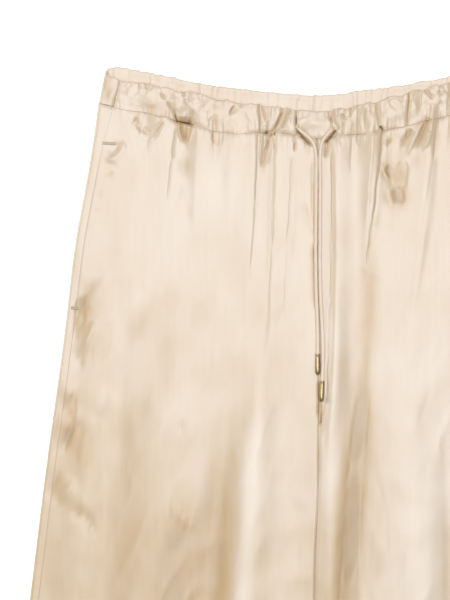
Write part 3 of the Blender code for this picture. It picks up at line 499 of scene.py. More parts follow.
def inner_edge(side, down):
    """The centre seam above the crotch, and the leg's inner fold below it."""
    middle = curve_through(column(CENTRE, "down"), column(CENTRE, "across"), down)
    below = np.clip((down - LEGS_TOUCH) / (FRONT_LENGTH - LEGS_TOUCH), 0, 1)
    return middle + side * (SEAM_HALF_GAP + HEM_SPREAD / 2 * below**2)


def legs_part(down):
    """0 where the two legs are one, 1 where each leg is a tube of its own."""
    return ramp((down - FRONT_RISE) / CROTCH_CURVE)


def edge_up(table, across):
    """Height of one of the waist's edges above the front waistband's top edge at the middle."""
    return curve_through(column(table, "across"), column(table, "up"), across)


def hem_down(across):
    """The hem, which rises a little towards the side."""
    return FRONT_LENGTH - HEM_CURVE * (across / half_width(FRONT_LENGTH)) ** 2


def front_seam_down(across):
    """Top edge of the front legs."""
    return -edge_up(FRONT_SEAM, across)


def back_seam_down(across):
    """Top edge of the back legs."""
    return -edge_up(BACK_SEAM, across)


def noise(seed, x, y):
    """Smooth noise from -1 to 1 with one bump a unit: random values on a lattice, blended with ramp."""
    lattice = np.random.RandomState(seed).uniform(-1, 1, (64, 64))
    i = np.floor(x).astype(int)
    j = np.floor(y).astype(int)
    u = ramp(x - i)
    v = ramp(y - j)
    low = mix(lattice[i % 64, j % 64], lattice[(i + 1) % 64, j % 64], u)
    high = mix(lattice[i % 64, (j + 1) % 64], lattice[(i + 1) % 64, (j + 1) % 64], u)
    return mix(low, high, v)


def ridges(seed, x, y):
    """Noise with narrow crests, from 0 to 1."""
    return (1 - np.abs(noise(seed, x, y))) ** 3


def along_line(line, x, y):
    """How far along a line a point is, from 0 to 1, and its distance to the side over the width."""
    dx, dy = line.x1 - line.x0, line.y1 - line.y0
    length = math.hypot(dx, dy)
    t = ((x - line.x0) * dx + (y - line.y0) * dy) / length**2
    off = ((x - line.x0) * dy - (y - line.y0) * dx) / length - 4 * line.bow * t * (1 - t)
    fade = ramp(t / line.head) if line.head else 1.0 * (t > -0.3)
    fade = fade * (ramp((1 - t) / line.tail) if line.tail else 1.0 * (t < 1.3))
    off = off / np.where(off < 0, line.left, line.right) / (0.3 + 0.7 * fade)
    return off, fade


def soft_lines(table, x, y):
    """Sum of rounded folds, exp(-off^2) across each line, in mm."""
    total = 0 * x
    for line in table:
        off, fade = along_line(line, x, y)
        total += line.height * np.exp(-(off**2)) * fade
    return total


def sharp_lines(table, x, y, narrow=1):
    """Sum of creases with a narrow crest, exp(0.3 - sqrt(off^2 + 0.09)) across each line, in mm."""
    total = 0 * x
    wander = 0.7 * noise(19, x / 9, y / 9)
    for line in table:
        off, fade = along_line(line, x + wander, y)
        off = off / narrow
        near = np.abs(off) < 5
        total += np.where(near, line.height * np.exp(0.3 - np.sqrt(off**2 + 0.09)) * fade, 0)
    return total


def facets(table, x, y):
    """Flat strips with crisp edges, exp(-off^6) across each line: their painted shade, and their tilt in mm.
    """
    facet_shade, tilt = 0 * x, 0 * x
    for line in table:
        off, fade = along_line(line, x + 1.2 * noise(56, x / 7, y / 9), y)
        inside = np.exp(-(np.abs(off) ** 6)) * ramp(fade * 2)
        facet_shade += line.height * inside
        tilt -= min(3 * line.height, 0.3 * min(line.left, line.right)) * off * inside
    return facet_shade, tilt


def blobs(table, x, y):
    """Sum of swellings, exp(-(dx / wide)^2 - (dy / long)^2) round each middle, in mm."""
    total = 0 * x
    for blob in table:
        total += blob.height * np.exp(-(((x - blob.x) / blob.wide) ** 2) - ((y - blob.y) / blob.long) ** 2)
    return total


def gather(name, across):
    """A value of the gathers' table at each across, by straight lines between its rows."""
    table = [getattr(row, name) for row in GATHERS]
    return np.interp(across / MM, [row.across for row in GATHERS], table)


def not_below(height, floor, soft):
    """height where it is well above floor, bending softly to floor where it isn't."""
    return floor + soft * np.logaddexp(0, (height - floor) / soft)


def cloth_height(across, down):
    """Height of the front's upper face: two layers of cloth, its folds, creases and small waves."""
    x, y = np.broadcast_arrays(across / MM, down / MM)
    below_waist = np.maximum(y - front_seam_down(across) / MM, 0)
    pocket = ramp((POCKET_DEPTH - down) / (POCKET_DEPTH / 2))
    height = LAYERS / MM + POCKET_LAYERS / MM * pocket
    height = height + soft_lines(FOLDS, x, y) + sharp_lines(CREASES, x, y) + blobs(LEG_BLOBS, x, y)
    height += facets(FACETS, x, y)[1]
    drift = x + 5 * noise(11, x / 60, y / 70)
    gathers = gather("leg", across) * (1.1 * np.exp(-below_waist / 7) + 0.35 * np.exp(-below_waist / 35))
    height += gathers * (ridges(12, drift / 4.3, y / 40) - 0.45)
    height += 0.30 * np.exp(-below_waist / 2.6) * (ridges(16, x / 2.7, y / 9) - 0.45)
    height += 0.8 * noise(13, drift / 34, y / 150)
    height += 0.22 * noise(14, drift / 15, y / 60)
    height += 0.40 * noise(52, (x + 0.5 * y) / 30, (y - 0.4 * x) / 42) * ramp((y - 60) / 120)
    height += 0.07 * noise(15, x / 9, y / 12)
    spread = ramp((y - 70) / 90) * ramp(0.6 * noise(54, x / 55, y / 75) + 0.45)
    height += 0.42 * spread * ridges(53, (x + 0.45 * y) / 24, (y - 0.3 * x) / 38)
    height *= MM
    over_pocket = ramp((down - 0.02) / 0.02) * ramp((0.27 - down) / 0.02)
    floor = mix(LEG_FLOOR, POCKET_FLOOR, over_pocket)
    return not_below(height, floor, 0.0003)


def seam_depth(across):
    """How deep the waist seam is, in metres: uneven, with some stretches nearly flat."""
    x = across / MM
    return gather("depth", across) * MM * (0.62 + 0.5 * noise(61, x / 5, 0 * x))


def seam_dip(distance, depth, width):
    """How far cloth sinks at a distance from a seam."""
    return depth * np.exp(-((distance / width) ** 2))


def front_height(side, across, down):
    """cloth_height with the seams drawn in: waist, side, centre front and hem."""
    height = cloth_height(across, down)
    height -= seam_dip(down - front_seam_down(across), seam_depth(across), 0.0020)
    opening = ramp((down - OPENING_TOP) / 0.004) * ramp((OPENING_END - down) / 0.004)
    height -= seam_dip(side_seam(down) - np.abs(across), 0.00007, 0.0008) * (1 + opening)
    height -= seam_dip(across - inner_edge(side, down), 0.0008, 0.0012) * (1 - legs_part(down))
    height -= seam_dip(down - hem_down(across) + HEM_STITCH_UP, 0.0003, 0.0012)
    return not_below(height, FRONT_FLOOR, 0.0002)


def shade(grid, creases=()):
    """How deep the cloth's colour is, from 0 to 1, as painted shade: broad painted shade and highlights of
    its folds, mottled with noise, and more painted shade in creases and pits.
    """
    x, y = grid[..., 0] / MM, (WAIST_Y - grid[..., 1]) / MM
    deep = 0.33 + soft_lines(SHADE_LINES, x, y) + blobs(SHADE_BLOBS, x, y)
    low = ramp((y - 60) / 120)
    deep += 0.08 * noise(51, (x + 0.5 * y) / 26, (y - 0.4 * x) / 34) * low
    crisp = noise(55, (x + 0.45 * y) / 19, (y - 0.3 * x) / 31) + 0.3 * noise(57, x / 8, y / 11)
    deep += 0.07 * (ramp(0.5 + 2.2 * (crisp - 0.15)) - 0.4) * low
    deep += 0.10 * noise(17, x / 45, y / 70) + 0.06 * noise(18, x / 18, y / 30)
    deep = np.clip(deep, 0, 1)
    if creases:
        deep += facets(FACETS, x, y)[0] + soft_lines(PIT_LINES, x, y) + blobs(PIT_BLOBS, x, y)
        deep += 0.34 * np.clip(-sharp_lines(creases, x, y, 0.5) - 0.4, 0, 1.6)
    return np.clip(deep, 0, 2) / 2


def band_height(across, share):
    """Height of the front waistband's upper face, from 0 at its lower edge to 1 at its upper."""
    low, high = edge_up(FRONT_SEAM, across), edge_up(FRONT_TOP, across)
    x, y = np.broadcast_arrays(across / MM, -mix(low, high, share) / MM)
    height = BAND_LAYERS / MM + sharp_lines(BAND_CREASES, x, y) + blobs(BAND_BLOBS, x, y)
    strength = gather("band", across)
    from_edge = np.minimum(share, 1 - share) * (high - low) / MM
    drift = x + 2.5 * noise(21, x / 20, y / 16)
    height += strength * (0.3 + 0.8 * np.exp(-from_edge / 6)) * (ridges(22, drift / 4.1, y / 30) - 0.45)
    height += 0.28 * np.exp(-from_edge / 2.4) * (ridges(25, x / 2.9, y / 8) - 0.45)
    height += 0.45 * noise(23, x / 14, y / 12)
    height += 0.20 * noise(24, x / 6, y / 6) + 0.30 * ridges(26, (x + y) / 11, (y - x) / 13)
    leg = cloth_height(across, front_seam_down(across)) / MM
    shallow = ramp((1.4 - gather("depth", across)) / 0.8)
    near = 1 - ramp(share * (high - low) / MM / 18)
    height = mix(height, leg + 0.15, 0.7 * shallow * near)
    height = height * MM
    height -= seam_dip(share * (high - low), seam_depth(across) * 0.8, 0.0018)
    height -= seam_dip(mix(BAND_SIDE_SEAM, BAND_SIDE_TOP, share) - np.abs(across), 0.0009, 0.0009)
    return not_below(height, BAND_FLOOR, 0.0003)


def scallop(seed, across):
    """Small uneven bumps of a gathered edge."""
    x = across / MM
    return (1.1 * (ridges(seed, x / 4.4, 0 * x) - 0.4) + 0.5 * noise(seed + 1, x / 12, 0 * x)) * MM


def spaced(start, end, count):
    """Columns from start to end, closest together at both ends."""
    direction = np.sign(end - start)
    head = start + direction * EDGE_STEPS
    tail = end - direction * EDGE_STEPS[::-1]
    middle = mix(head[:, -1:], tail[:, :1], np.linspace(0, 1, count)[1:-1])
    return np.concatenate([head, middle, tail], axis=1)


def settle(place, top_edge):
    """Across and down of a piece's grid, whose rows run from its top edge to the hem.

    place(down) gives the across of each column, and top_edge(across) the down of the first row."""
    share = ROWS[:, None] / ROWS[-1]
    across = place(FRONT_LENGTH * share)
    for _ in range(3):
        down = top_edge(across) * (1 - share) ** TOP_FADE + hem_down(across) * share
        across = place(down)
    return across, down


def stack(across, down, height):
    """Grid points from across, down and height."""
    across, down, height = np.broadcast_arrays(across, down, height)
    return np.stack([across, WAIST_Y - down, height], axis=-1)


def grid_faces(index):
    """The quads of a grid, from the number of each of its points."""
    quads = np.stack([index[:-1, :-1], index[:-1, 1:], index[1:, 1:], index[1:, :-1]], axis=-1)
    return quads.reshape(-1, 4)


def add_object(name, data):
    """A new object in the scene."""
    obj = bpy.data.objects.new(name, data)
    bpy.context.scene.collection.objects.link(obj)
    return obj


def new_object(name, points, faces, material, painted_shade):
    """A smooth mesh object from points and faces, with a painted shade for each point."""
    mesh = bpy.data.meshes.new(name)
    mesh.from_pydata(points.tolist(), [], [list(map(int, face)) for face in faces])
    mesh.shade_smooth()
    mesh.materials.append(material)
    layer = mesh.attributes.new("painted_shade", "FLOAT", "POINT")
    layer.data.foreach_set("value", painted_shade.astype(np.float32))
    return add_object(name, mesh)


def grid_object(name, grid, flip, material, thickness=CLOTH):
    """A cloth surface through a grid of points, with a thin wall."""
    faces = grid_faces(np.arange(grid[..., 0].size).reshape(grid.shape[:2]))
    faces = faces[:, ::-1] if flip else faces
    obj = new_object(name, grid.reshape(-1, 3), faces, material, shade(grid).ravel())
    wall = obj.modifiers.new("wall", "SOLIDIFY")
    wall.thickness = thickness
    wall.offset = -1
    return obj


def lowest_near(height, reach):
    """The least height among a grid's points up to some rows and columns away."""
    for axis in (0, 1):
        padded = np.pad(height, [(reach, reach) if axis == k else (0, 0) for k in (0, 1)], mode="edge")
        count = height.shape[axis]
        shifted = [np.take(padded, range(k, k + count), axis=axis) for k in range(2 * reach + 1)]
        height = np.min(shifted, axis=0)
    return height


def fine_shell(name, grid, flip, material, painted_shade):
    """A thin closed shell whose upper face is fine and whose under face is coarse.

    The under face takes every fourth row and column, at the least height of the points round
    them, less the cloth's thickness along its normal. Strips of faces join both along the edges."""
    rows, columns = grid.shape[:2]
    body = columns - ROLL_COLUMNS
    r = np.unique(np.append(np.arange(0, rows, COARSE), rows - 1))
    c = np.append(np.arange(0, body, COARSE), np.arange(body, columns))
    low = grid.copy()
    low[:, :body, 2] = lowest_near(grid[:, :body, 2], COARSE)
    low = low[np.ix_(r, c)]
    normal = np.cross(np.gradient(low, axis=0), np.gradient(low, axis=1))
    normal /= np.linalg.norm(normal, axis=2, keepdims=True)
    low -= normal * np.sign(normal[..., 2].mean()) * CLOTH
    top = np.arange(rows * columns).reshape(rows, columns)
    under = top.size + np.arange(len(r) * len(c)).reshape(len(r), len(c))
    faces = grid_faces(top).tolist() + grid_faces(under)[:, ::-1].tolist()
    for a, b in zip(range(len(c) - 1), range(1, len(c))):
        faces.append([*top[0, c[a]:c[b] + 1][::-1], under[0, a], under[0, b]])
        faces.append([*top[-1, c[a]:c[b] + 1], under[-1, b], under[-1, a]])
    for a, b in zip(range(len(r) - 1), range(1, len(r))):
        faces.append([*top[r[a]:r[b] + 1, 0], under[b, 0], under[a, 0]])
        faces.append([*top[r[a]:r[b] + 1, -1][::-1], under[a, -1], under[b, -1]])
    faces = [face[::-1] for face in faces] if flip else faces
    points = np.concatenate([grid.reshape(-1, 3), low.reshape(-1, 3)])
    painted_shades = np.concatenate([painted_shade.ravel(), painted_shade[np.ix_(r, c)].ravel()])
    return new_object(name, points, faces, material, painted_shades)


def inner_radius(side, down):
    """Radius of the fold along the inside of the leg: half the height of the cloth there."""
    return cloth_height(inner_edge(side, down) + side * LAYERS / 2, down) / 2


def side_radius(side, down):
    """Radius of the fold along the outside of the leg."""
    return cloth_height(side * (half_width(down) - LAYERS / 2), down) / 2


def inner_roll(side, top_edge):
    """The strip beside the centre seam, which below the crotch is a quarter turn of the fold.

    Gives its across and down, its height on the back, and its height on the front."""
    flat = np.linspace(0, 1, ROLL_COLUMNS)
    turn = flat * math.pi / 2

    def place(down):
        reach = mix(flat, np.sin(turn), legs_part(down))
        return inner_edge(side, down) + side * inner_radius(side, down[:, :1]) * (1 - reach)

    across, down = settle(place, top_edge)
    radius = inner_radius(side, down[:, :1])
    curl = (radius - SEAM_HALF_GAP) * (1 - np.cos(turn)) * legs_part(down)
    front = mix(front_height(side, across, down), 2 * radius, ramp(flat) * legs_part(down))
    return across, down, curl, front - curl


def front_leg(side):
    """Half of the front: from the side seam over its folds to the centre seam or the inner fold."""

    def place(down):
        down = down[:, :1]
        outer = side * (side_seam(down) - SEAM_HALF_GAP)
        inner = inner_edge(side, down) + side * inner_radius(side, down)
        return spaced(outer, inner, FRONT_COLUMNS)

    across, down = settle(place, front_seam_down)
    body = stack(across, down, front_height(side, across, down))
    across, down, _, height = inner_roll(side, front_seam_down)
    return np.concatenate([body, stack(across, down, height)[:, 1:]], axis=1)


def back_leg(side):
    """Half of the back: flat underneath, then round the side fold and on to the front."""
    strip = [0.2, 0.4, 0.58, 0.72, 0.82, 0.9, 0.96, 1.0]
    turn = np.append(np.linspace(0, math.pi, FOLD_STEPS), np.full(len(strip), math.pi))
    onward = np.append(np.zeros(FOLD_STEPS), strip)

    def fold(down):
        down = down[:, :1]
        radius = side_radius(side, down)
        line = mix(half_width(down) - radius, side_seam(down) + SEAM_HALF_GAP, onward)
        return side * (line + radius * np.sin(turn))

    def fold_top(across):
        return mix(back_seam_down(across), front_seam_down(across), turn / math.pi)

    across, down, height, _ = inner_roll(side, back_seam_down)
    roll = stack(across, down, height)[:, ::-1]
    across, down = settle(fold, fold_top)
    radius = side_radius(side, down[:, :1])
    rise = radius * (1 - np.cos(turn))
    top = front_height(side, across, down)
    rise[:, FOLD_STEPS:] = mix(2 * radius, top[:, FOLD_STEPS:], ramp(onward[FOLD_STEPS:] * 2))
    rise -= seam_dip(down - front_seam_down(across), 0.0004, 0.0020) * (turn / math.pi) ** 4
    edge = stack(across, down, rise)
    inner, outer = roll[:, -1:, 0], edge[:, :1, 0]

    def flat(down):
        return mix(inner, outer, np.linspace(0, 1, BACK_COLUMNS)[1:-1])

    across, down = settle(flat, back_seam_down)
    return np.concatenate([roll, stack(across, down, 0), edge], axis=1)


def closed_loops(name, grid, material, flip, creases=()):
    """A closed surface through loops of points, capped at both ends."""
    loops, around = grid.shape[:2]
    index = np.arange(loops * around).reshape(loops, around)
    wrapped = np.concatenate([index, index[:, :1]], axis=1)
    faces = grid_faces(wrapped).tolist() + [index[0, ::-1].tolist(), index[-1].tolist()]
    faces = [face[::-1] for face in faces] if flip else faces
    return new_object(name, grid.reshape(-1, 3), faces, material, shade(grid, creases).ravel())


def front_band():
    """The front waistband: its face, round over its top edge and back underneath, for each across.

    Along the top edge the loop is up = top - r + r sin(a), height = face - r (1 - cos(a))."""
    t = np.concatenate([[-1, -0.998, -0.995, -0.991], np.linspace(-0.986, 0.986, BAND_COLUMNS)])
    t = np.concatenate([t, [0.991, 0.995, 0.998, 1]])[:, None]
    r = BAND_WALL / 2
    face = np.concatenate([[0, 0.02, 0.045, 0.075, 0.11], np.linspace(0.14, 1, BAND_ROWS)])
    turn = np.linspace(0, math.pi, 8)[1:]

    def at(share):
        side = mix(BAND_SIDE_SEAM, BAND_SIDE_TOP, share) - SEAM_HALF_GAP
        across = side * t
        low = edge_up(FRONT_SEAM, across) - BAND_OVERLAP
        high = edge_up(FRONT_TOP, across) + scallop(31, across) - r
        return across, mix(low, high, share)

    across, up = at(face)
    height = band_height(across, face)
    ends = height[:, -1:]
    top_across, top_up = at(np.ones(len(turn)))
    low_across, low_up = at(np.array([0.6, 0.2]))
    loops = [
        stack(across, -up, height),
        stack(top_across, -(top_up + r * np.sin(turn)), ends - r * (1 - np.cos(turn))),
        stack(low_across, -low_up, BAND_UNDERSIDE),
    ]
    return np.concatenate(loops, axis=1)


def back_band():
    """The back waistband, with both ends round the side folds to the side seams.

    Its wall is set off from its outer face towards the inside: up where it lies flat, then
    towards the middle round the fold, and down on the strips on the front."""
    arc = np.linspace(0, math.pi, 15)
    strip = np.array([0.2, 0.4, 0.6, 0.75, 0.87, 0.95, 1.0])
    flat = np.linspace(-1, 1, BACK_BAND_COLUMNS)[1:-1]
    half_turn = np.full(len(strip), math.pi)
    turn = np.concatenate([half_turn, arc[::-1], 0 * flat, arc, half_turn])[:, None]
    bend = np.ones(len(strip) + len(arc))
    side = np.concatenate([-bend, np.sign(flat), bend])[:, None]
    radius = (BAND_LAYERS - 0.0006) / 2

    def outer(share):
        """Across, up and height of the outer face."""
        half = mix(BAND_HALF_SEAM, BAND_HALF_TOP, share) - radius
        seam = mix(BAND_SIDE_SEAM, BAND_SIDE_TOP, share) + SEAM_HALF_GAP
        across = np.concatenate([
            -mix(half, seam, strip[::-1, None]),
            -half - radius * np.sin(arc[::-1, None]),
            half * flat[:, None],
            half + radius * np.sin(arc[:, None]),
            mix(half, seam, strip[:, None]),
        ])
        low = mix(edge_up(BACK_SEAM, across), edge_up(FRONT_SEAM, across), turn / math.pi)
        top = edge_up(BACK_TOP, across) + scallop(41, across)
        high = mix(top, edge_up(FRONT_TOP, across) + scallop(31, across), turn / math.pi)
        rise = radius * (1 - np.cos(turn))
        over = ramp((turn - 2.9) / 0.2) * ramp((np.abs(across) - seam - 0.009) / -0.004)
        rise = mix(rise, band_height(across, share * np.ones_like(across)), over)
        return across, mix(low, high - BAND_WALL / 2, share), rise

    def wall(across, share):
        """Thickness with the tucks of the inside, and the seam at the centre back."""
        x = across / MM
        y = share * 24
        tucks = 0.34 * (ridges(42, (x + 2 * noise(43, x / 14, y / 9)) / 4.9, y / 26) - 0.45)
        tucks += 0.35 * noise(44, x / 13, y / 12) - 0.5 * np.exp(-(((y - 22) / 0.7) ** 2))
        centre = 0.35 * np.exp(-(((x + 2.8) / 0.8) ** 2))
        return (BAND_WALL / MM + tucks - centre) * MM * mix(1, 0.9, turn / math.pi)

    loops = [outer(share) for share in [0.0, 0.04, 0.1, 0.18, 0.3, 0.45, 0.6, 0.8, 1.0]]
    across, up, rise = loops[-1]
    thick = wall(across, 1.0)
    for angle in np.linspace(0, math.pi, 8)[1:-1]:
        inward = thick / 2 * (1 - math.cos(angle))
        loops.append((
            across - side * np.sin(turn) * inward,
            up + BAND_WALL / 2 * math.sin(angle),
            rise + np.cos(turn) * inward,
        ))
    for share in [1.0, 0.94, 0.88, 0.82, 0.76, 0.7, 0.64, 0.56, 0.46, 0.3, 0.1]:
        across, up, rise = outer(share)
        inward = wall(across, share)
        loops.append((across - side * np.sin(turn) * inward, up, rise + np.cos(turn) * inward))
    return np.concatenate([stack(a, -u, np.maximum(r, 0)) for a, u, r in loops], axis=1)


def top_of_front(across, down):
    """Height of what lies uppermost in the middle of the front: the waistband or the legs."""
    low, high = edge_up(FRONT_SEAM, across), edge_up(FRONT_TOP, across)
    share = (-down - low) / (high - low)
    leg = front_height(1, across, down)
    return np.where(share > 0, band_height(across, np.clip(share, 0, 1)), leg)


def cord_line(route):
    """Points of one free end: on the cloth below it, and diving into its hole at the start."""
    across, down = column(route, "across"), column(route, "down")
    steps = np.hypot(np.diff(across), np.diff(down))
    along = np.concatenate([[0], np.cumsum(steps)])
    at = np.linspace(0, along[-1], CORD_POINTS)
    x = curve_through(along, across, at)
    y = curve_through(along, down, at)
    beside = np.linspace(-1, 1, 7) * CORD_WIDTH * 0.45
    rest = top_of_front(x[:, None] + beside, y[:, None] + 0 * beside).max(axis=1)
    window = np.hanning(15)
    padded = np.pad(rest, 14, mode="edge")
    highest = np.max([padded[7 + k:len(padded) - 7 + k] for k in range(-5, 6)], axis=0)
    rest = np.convolve(highest, window / window.sum(), mode="valid")
    z = rest + CORD_HEIGHT / 2 - CORD_SINK
    z -= DIVE * (1 - ramp(at / DIVE_LENGTH))
    z += (TIP_RADIUS - CORD_HEIGHT / 2) * ramp(1 - (at[-1] - at) / TIP_LENGTH)
    z[at > at[-1] - TIP_SOCKET] = z[-1]
    return np.stack([x, WAIST_Y - y, z], axis=1)


def tube_grid(path, width, height, around=20):
    """Rings round a path: a rounded oblong, with one shallow groove that winds slowly along it."""
    ahead = np.gradient(path, axis=0)
    ahead /= np.linalg.norm(ahead, axis=1)[:, None]
    sideways = np.cross([0, 0, 1], ahead)
    sideways /= np.linalg.norm(sideways, axis=1)[:, None]
    upward = np.cross(ahead, sideways)
    angle = np.linspace(0, 2 * math.pi, around, endpoint=False)
    step = np.linalg.norm(np.diff(path, axis=0, prepend=path[:1]), axis=1)
    along = np.cumsum(step)[:, None]
    groove = np.cos(angle - along * 60 - 1.5 * np.sin(along * 45))
    swell = 1 - 0.09 * np.clip(groove, 0, 1) ** 8 + 0.03 * np.sin(along * 500 + angle)
    across = np.sign(np.cos(angle)) * np.abs(np.cos(angle)) ** 0.6
    up = np.sign(np.sin(angle)) * np.abs(np.sin(angle)) ** 0.6
    a = sideways[:, None] * (width / 2 * across * swell)[..., None]
    b = upward[:, None] * (height / 2 * up * swell)[..., None]
    return path[:, None] + a + b


def metal_tip(name, end, before, material):
    """A turned metal end, whose profile is swept round the cord's own line."""
    ahead = end - before
    ahead[2] = 0
    ahead /= np.linalg.norm(ahead)
    along = column(TIP_RINGS, "along")[:, None, None]
    radius = column(TIP_RINGS, "radius")[:, None, None]
    sideways = np.array([-ahead[1], ahead[0], 0])
    angle = np.linspace(0, 2 * math.pi, 32, endpoint=False)[:, None]
    around = sideways * np.cos(angle) + np.array([0, 0, 1]) * np.sin(angle)
    grid = end - ahead * (TIP_SOCKET - TIP_GAP) + ahead * along + radius * around
    return closed_loops(name, grid, material, False)


def tack(name, row, material):
    """A bar of satin stitches on the cloth: a low ridge with a bump for each stitch."""
    t = np.linspace(-1, 1, 61)[:, None]
    v = np.linspace(-1, 1, 9)
    x = mix(row.across0, row.across1, (t + 1) / 2) * MM
    y = mix(row.down0, row.down1, (t + 1) / 2) * MM + v * TACK_HALF_WIDTH
    side = np.sign(row.across0)
    rest = cloth_height(side * np.minimum(np.abs(x + 0 * y), half_width(y) - LAYERS / 2), y)
    round_end = 1 - np.abs(t) ** 8
    bump = (0.55 + 0.15 * np.cos(t * 30 * math.pi)) * (1 - np.abs(v) ** 3) * round_end
    return grid_object(name, stack(x, y, rest + bump * MM), False, material, TACK_WALL)


def hole_stitches(name, hole, material):
    """The stitched edge of an upright buttonhole: a narrow ring with a bump for each stitch."""
    t = np.linspace(0, 2 * math.pi, 193)[:-1]
    x = (hole.across + 1.0 * np.cos(t)) * MM
    y = (hole.down + hole.long * np.sin(t)) * MM
    path = np.stack([x, WAIST_Y - y, top_of_front(x, y) - 0.0001], axis=1)
    ring = np.linspace(0, 2 * math.pi, 10, endpoint=False)
    size = 0.0004 * (1 + 0.3 * np.cos(t * 32))[:, None]
    out = np.stack([np.cos(t), -np.sin(t), 0 * t], axis=1)
    grid = path[:, None] + out[:, None] * (size * np.cos(ring))[..., None]
    grid[..., 2] += size * np.sin(ring)
    return closed_loops(name, grid, material, True)


def new_material(name, inputs):
    """A material, and its main shader with some of its inputs set."""
    material = bpy.data.materials.new(name)
    material.use_nodes = True
    shader = material.node_tree.nodes["Principled BSDF"]
    for key, value in inputs.items():
        shader.inputs[key].default_value = value
    return material, shader


def stretched_noise(tree, place, scale, detail):
    """Noise in the piece's own space, with a scale for each axis."""
    stretch = tree.nodes.new("ShaderNodeMapping")
    stretch.inputs["Scale"].default_value = scale
    tree.links.new(place.outputs["Object"], stretch.inputs["Vector"])
    cloud = tree.nodes.new("ShaderNodeTexNoise")
    cloud.inputs["Scale"].default_value = 1.0
    cloud.inputs["Detail"].default_value = detail
    tree.links.new(stretch.outputs["Vector"], cloud.inputs["Vector"])
    return cloud.outputs["Fac"]


def satin(name, colour, deep, roughness, bump):
    """Satin cloth: smooth and softly shining, with a fine weave and faint streaks along it.

    With the mesh's painted shade and a little noise its colour goes from colour to deep, the painted shade
    colour, then to the two browns of painted shadow."""
    inputs = {"Roughness": roughness, "Specular IOR Level": 1.0, "Sheen Weight": 0.10, "Sheen Roughness": 0.4}
    material, shader = new_material(name, inputs)
    tree = material.node_tree
    place = tree.nodes.new("ShaderNodeTexCoord")
    painted_shade = tree.nodes.new("ShaderNodeAttribute")
    painted_shade.attribute_name = "painted_shade"
    streaks = tree.nodes.new("ShaderNodeMath")
    streaks.operation = "MULTIPLY_ADD"
    streaks.inputs[1].default_value = 0.10
    tree.links.new(stretched_noise(tree, place, (260, 24, 60), 3), streaks.inputs[0])
    tree.links.new(painted_shade.outputs["Fac"], streaks.inputs[2])
    tones = tree.nodes.new("ShaderNodeValToRGB")
    tones.color_ramp.elements[0].color = (*colour, 1)
    tones.color_ramp.elements[1].color = (*PIT_SHADOW, 1)
    tones.color_ramp.elements.new(0.5).color = (*deep, 1)
    tones.color_ramp.elements.new(0.78).color = (*SHADOW, 1)
    tree.links.new(streaks.outputs["Value"], tones.inputs["Fac"])
    tree.links.new(tones.outputs["Color"], shader.inputs["Base Color"])
    relief = tree.nodes.new("ShaderNodeBump")
    relief.inputs["Strength"].default_value = bump
    relief.inputs["Distance"].default_value = 0.0001
    tree.links.new(stretched_noise(tree, place, (2600, 420, 600), 1), relief.inputs["Height"])
    tree.links.new(relief.outputs["Normal"], shader.inputs["Normal"])
    return material


def brass(name):
    """Plain dull brass."""
    return new_material(name, {"Metallic": 1.0, "Base Color": (0.43, 0.33, 0.18, 1), "Roughness": 0.32})[0]


def plain(name, colour, glow):
    """A matt surface that shines a little by itself."""
    inputs = {
        "Base Color": (*colour, 1),
        "Roughness": 1.0,
        "Specular IOR Level": 0.0,
        "Emission Color": (1, 1, 1, 1),
        "Emission Strength": glow,
    }
    return new_material(name, inputs)[0]


def area_light(name, place, target, size, power, colour=(1, 1, 1)):
    """A soft light at a place, facing a target."""
    light = bpy.data.lights.new(name, "AREA")
    light.shape = "RECTANGLE"
    light.size, light.size_y = size
    light.energy = power
    light.color = colour
    obj = add_object(name, light)
    obj.location = place
    from_here = Vector(target) - Vector(place)
    obj.rotation_euler = from_here.to_track_quat("-Z", "Y").to_euler()


def set_camera():
    """Straight down on the same part of the trousers as the photo."""
    data = bpy.data.cameras.new("camera")
    data.sensor_width = 36
    data.lens = 36 * CAMERA_HEIGHT / PICTURE_HEIGHT
    data.clip_end = 20
    camera = add_object("camera", data)
    camera.location = (PICTURE_ACROSS, WAIST_Y - PICTURE_DOWN, CAMERA_HEIGHT)
    bpy.context.scene.camera = camera


def set_stage():
    """White floor, warm white surroundings, and soft light from above and from the upper left."""
    mesh = bpy.data.meshes.new("floor")
    far, level = 6.0, -0.0006
    corners = [(-far, -far, level), (far, -far, level), (far, far, level), (-far, far, level)]
    mesh.from_pydata(corners, [], [(0, 1, 2, 3)])
    mesh.materials.append(plain("floor_white", (0.9, 0.9, 0.9), 0.75))
    add_object("floor", mesh)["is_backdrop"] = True
    world = bpy.data.worlds.new("room")
    world.use_nodes = True
    light = world.node_tree.nodes["Background"].inputs
    light["Color"].default_value = (1, 0.95, 0.88, 1)
    light["Strength"].default_value = 0.36
    bpy.context.scene.world = world
    middle = (-0.05, 0.2, 0)
    area_light("overhead", (0.2, 0.55, 3.3), middle, (2.0, 2.0), 61, (0.95, 0.99, 1.03))
    area_light("from_the_side", (-2.6, 0.9, 1.2), middle, (1.2, 0.9), 16)
    bpy.context.scene.view_settings.view_transform = "Standard"


def write_size(key, sizes={}):
    """Keeps the bounds before and after the looks are built."""
    sizes[key] = [[float(c) for c in corner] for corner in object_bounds()]


def dress(obj, slot, *nodes):
    """Puts a piece on the frame in place of the nodes it stands for."""
    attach(obj, "root")
    if nodes:
        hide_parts(*nodes)


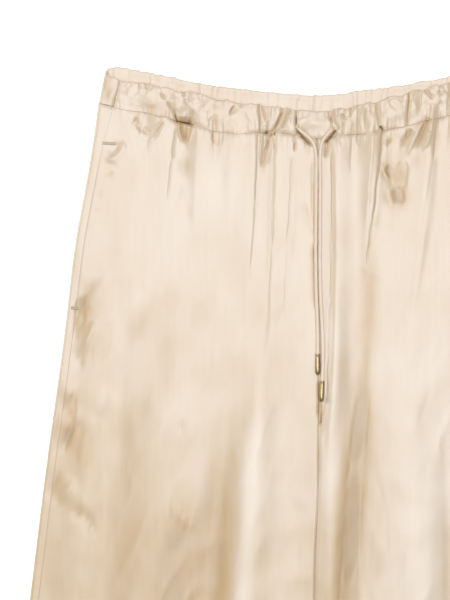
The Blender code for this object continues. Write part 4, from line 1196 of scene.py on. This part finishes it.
def build_cloth():
    """The legs, the waistband and the tacks of the pockets."""
    # Each satin's second colour is the colour of its painted shade.
    cloth = satin("satin", (0.876, 0.754, 0.630), (0.63, 0.432, 0.225), 0.36, 0.10)
    for side, name in ((-1, "right"), (1, "left")):
        grid = front_leg(side)
        front = fine_shell("front_" + name, grid, side < 0, cloth, shade(grid, CREASES))
        dress(front, "champagne_satin", "leg_front_" + name)
        back = grid_object("back_" + name, back_leg(side), side < 0, cloth)
        dress(back, "champagne_satin", "leg_back_" + name)
    band = closed_loops("band_front", front_band(), cloth, False, BAND_CREASES)
    dress(band, "champagne_satin", "waistband_front")
    band = closed_loops("band_back", back_band(), cloth, True)
    dress(band, "champagne_satin", "waistband_back")
    thread = satin("thread", (0.72, 0.55, 0.39), (0.56, 0.39, 0.24), 0.5, 0.0)
    for number, row in enumerate(TACKS):
        dress(tack("tack_%d" % (number + 1), row, thread), "champagne_satin")
    for name, hole in HOLES.items():
        dress(hole_stitches("hole_edge_" + name, hole, thread), "champagne_satin")


def build_drawstring():
    """The two free ends of the drawstring and their metal tips."""
    # The second colour is the colour of the cord's painted shade.
    cloth = satin("cord_cloth", (0.86, 0.72, 0.57), (0.66, 0.47, 0.30), 0.40, 0.05)
    metal = brass("metal")
    for name, route in CORD_ROUTES.items():
        path = cord_line(route)
        cord = closed_loops("cord_" + name, tube_grid(path, CORD_WIDTH, CORD_HEIGHT), cloth, True)
        dress(cord, "cord_satin", "drawstring_" + name)
        tip = metal_tip("end_" + name, path[-1], path[-2], metal)
        dress(tip, "brass", "tip_" + name)
        length = float(np.linalg.norm(np.diff(path, axis=0), axis=1).sum())
        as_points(path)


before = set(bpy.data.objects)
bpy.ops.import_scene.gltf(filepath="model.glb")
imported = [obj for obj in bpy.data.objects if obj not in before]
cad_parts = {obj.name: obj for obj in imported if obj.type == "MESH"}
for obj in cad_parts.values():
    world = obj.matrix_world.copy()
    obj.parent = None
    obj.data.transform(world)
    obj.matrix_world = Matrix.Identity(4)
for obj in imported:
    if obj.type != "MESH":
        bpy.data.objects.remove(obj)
write_size("loaded")
set_camera()
set_stage()
build_cloth()
build_drawstring()
write_size("built")
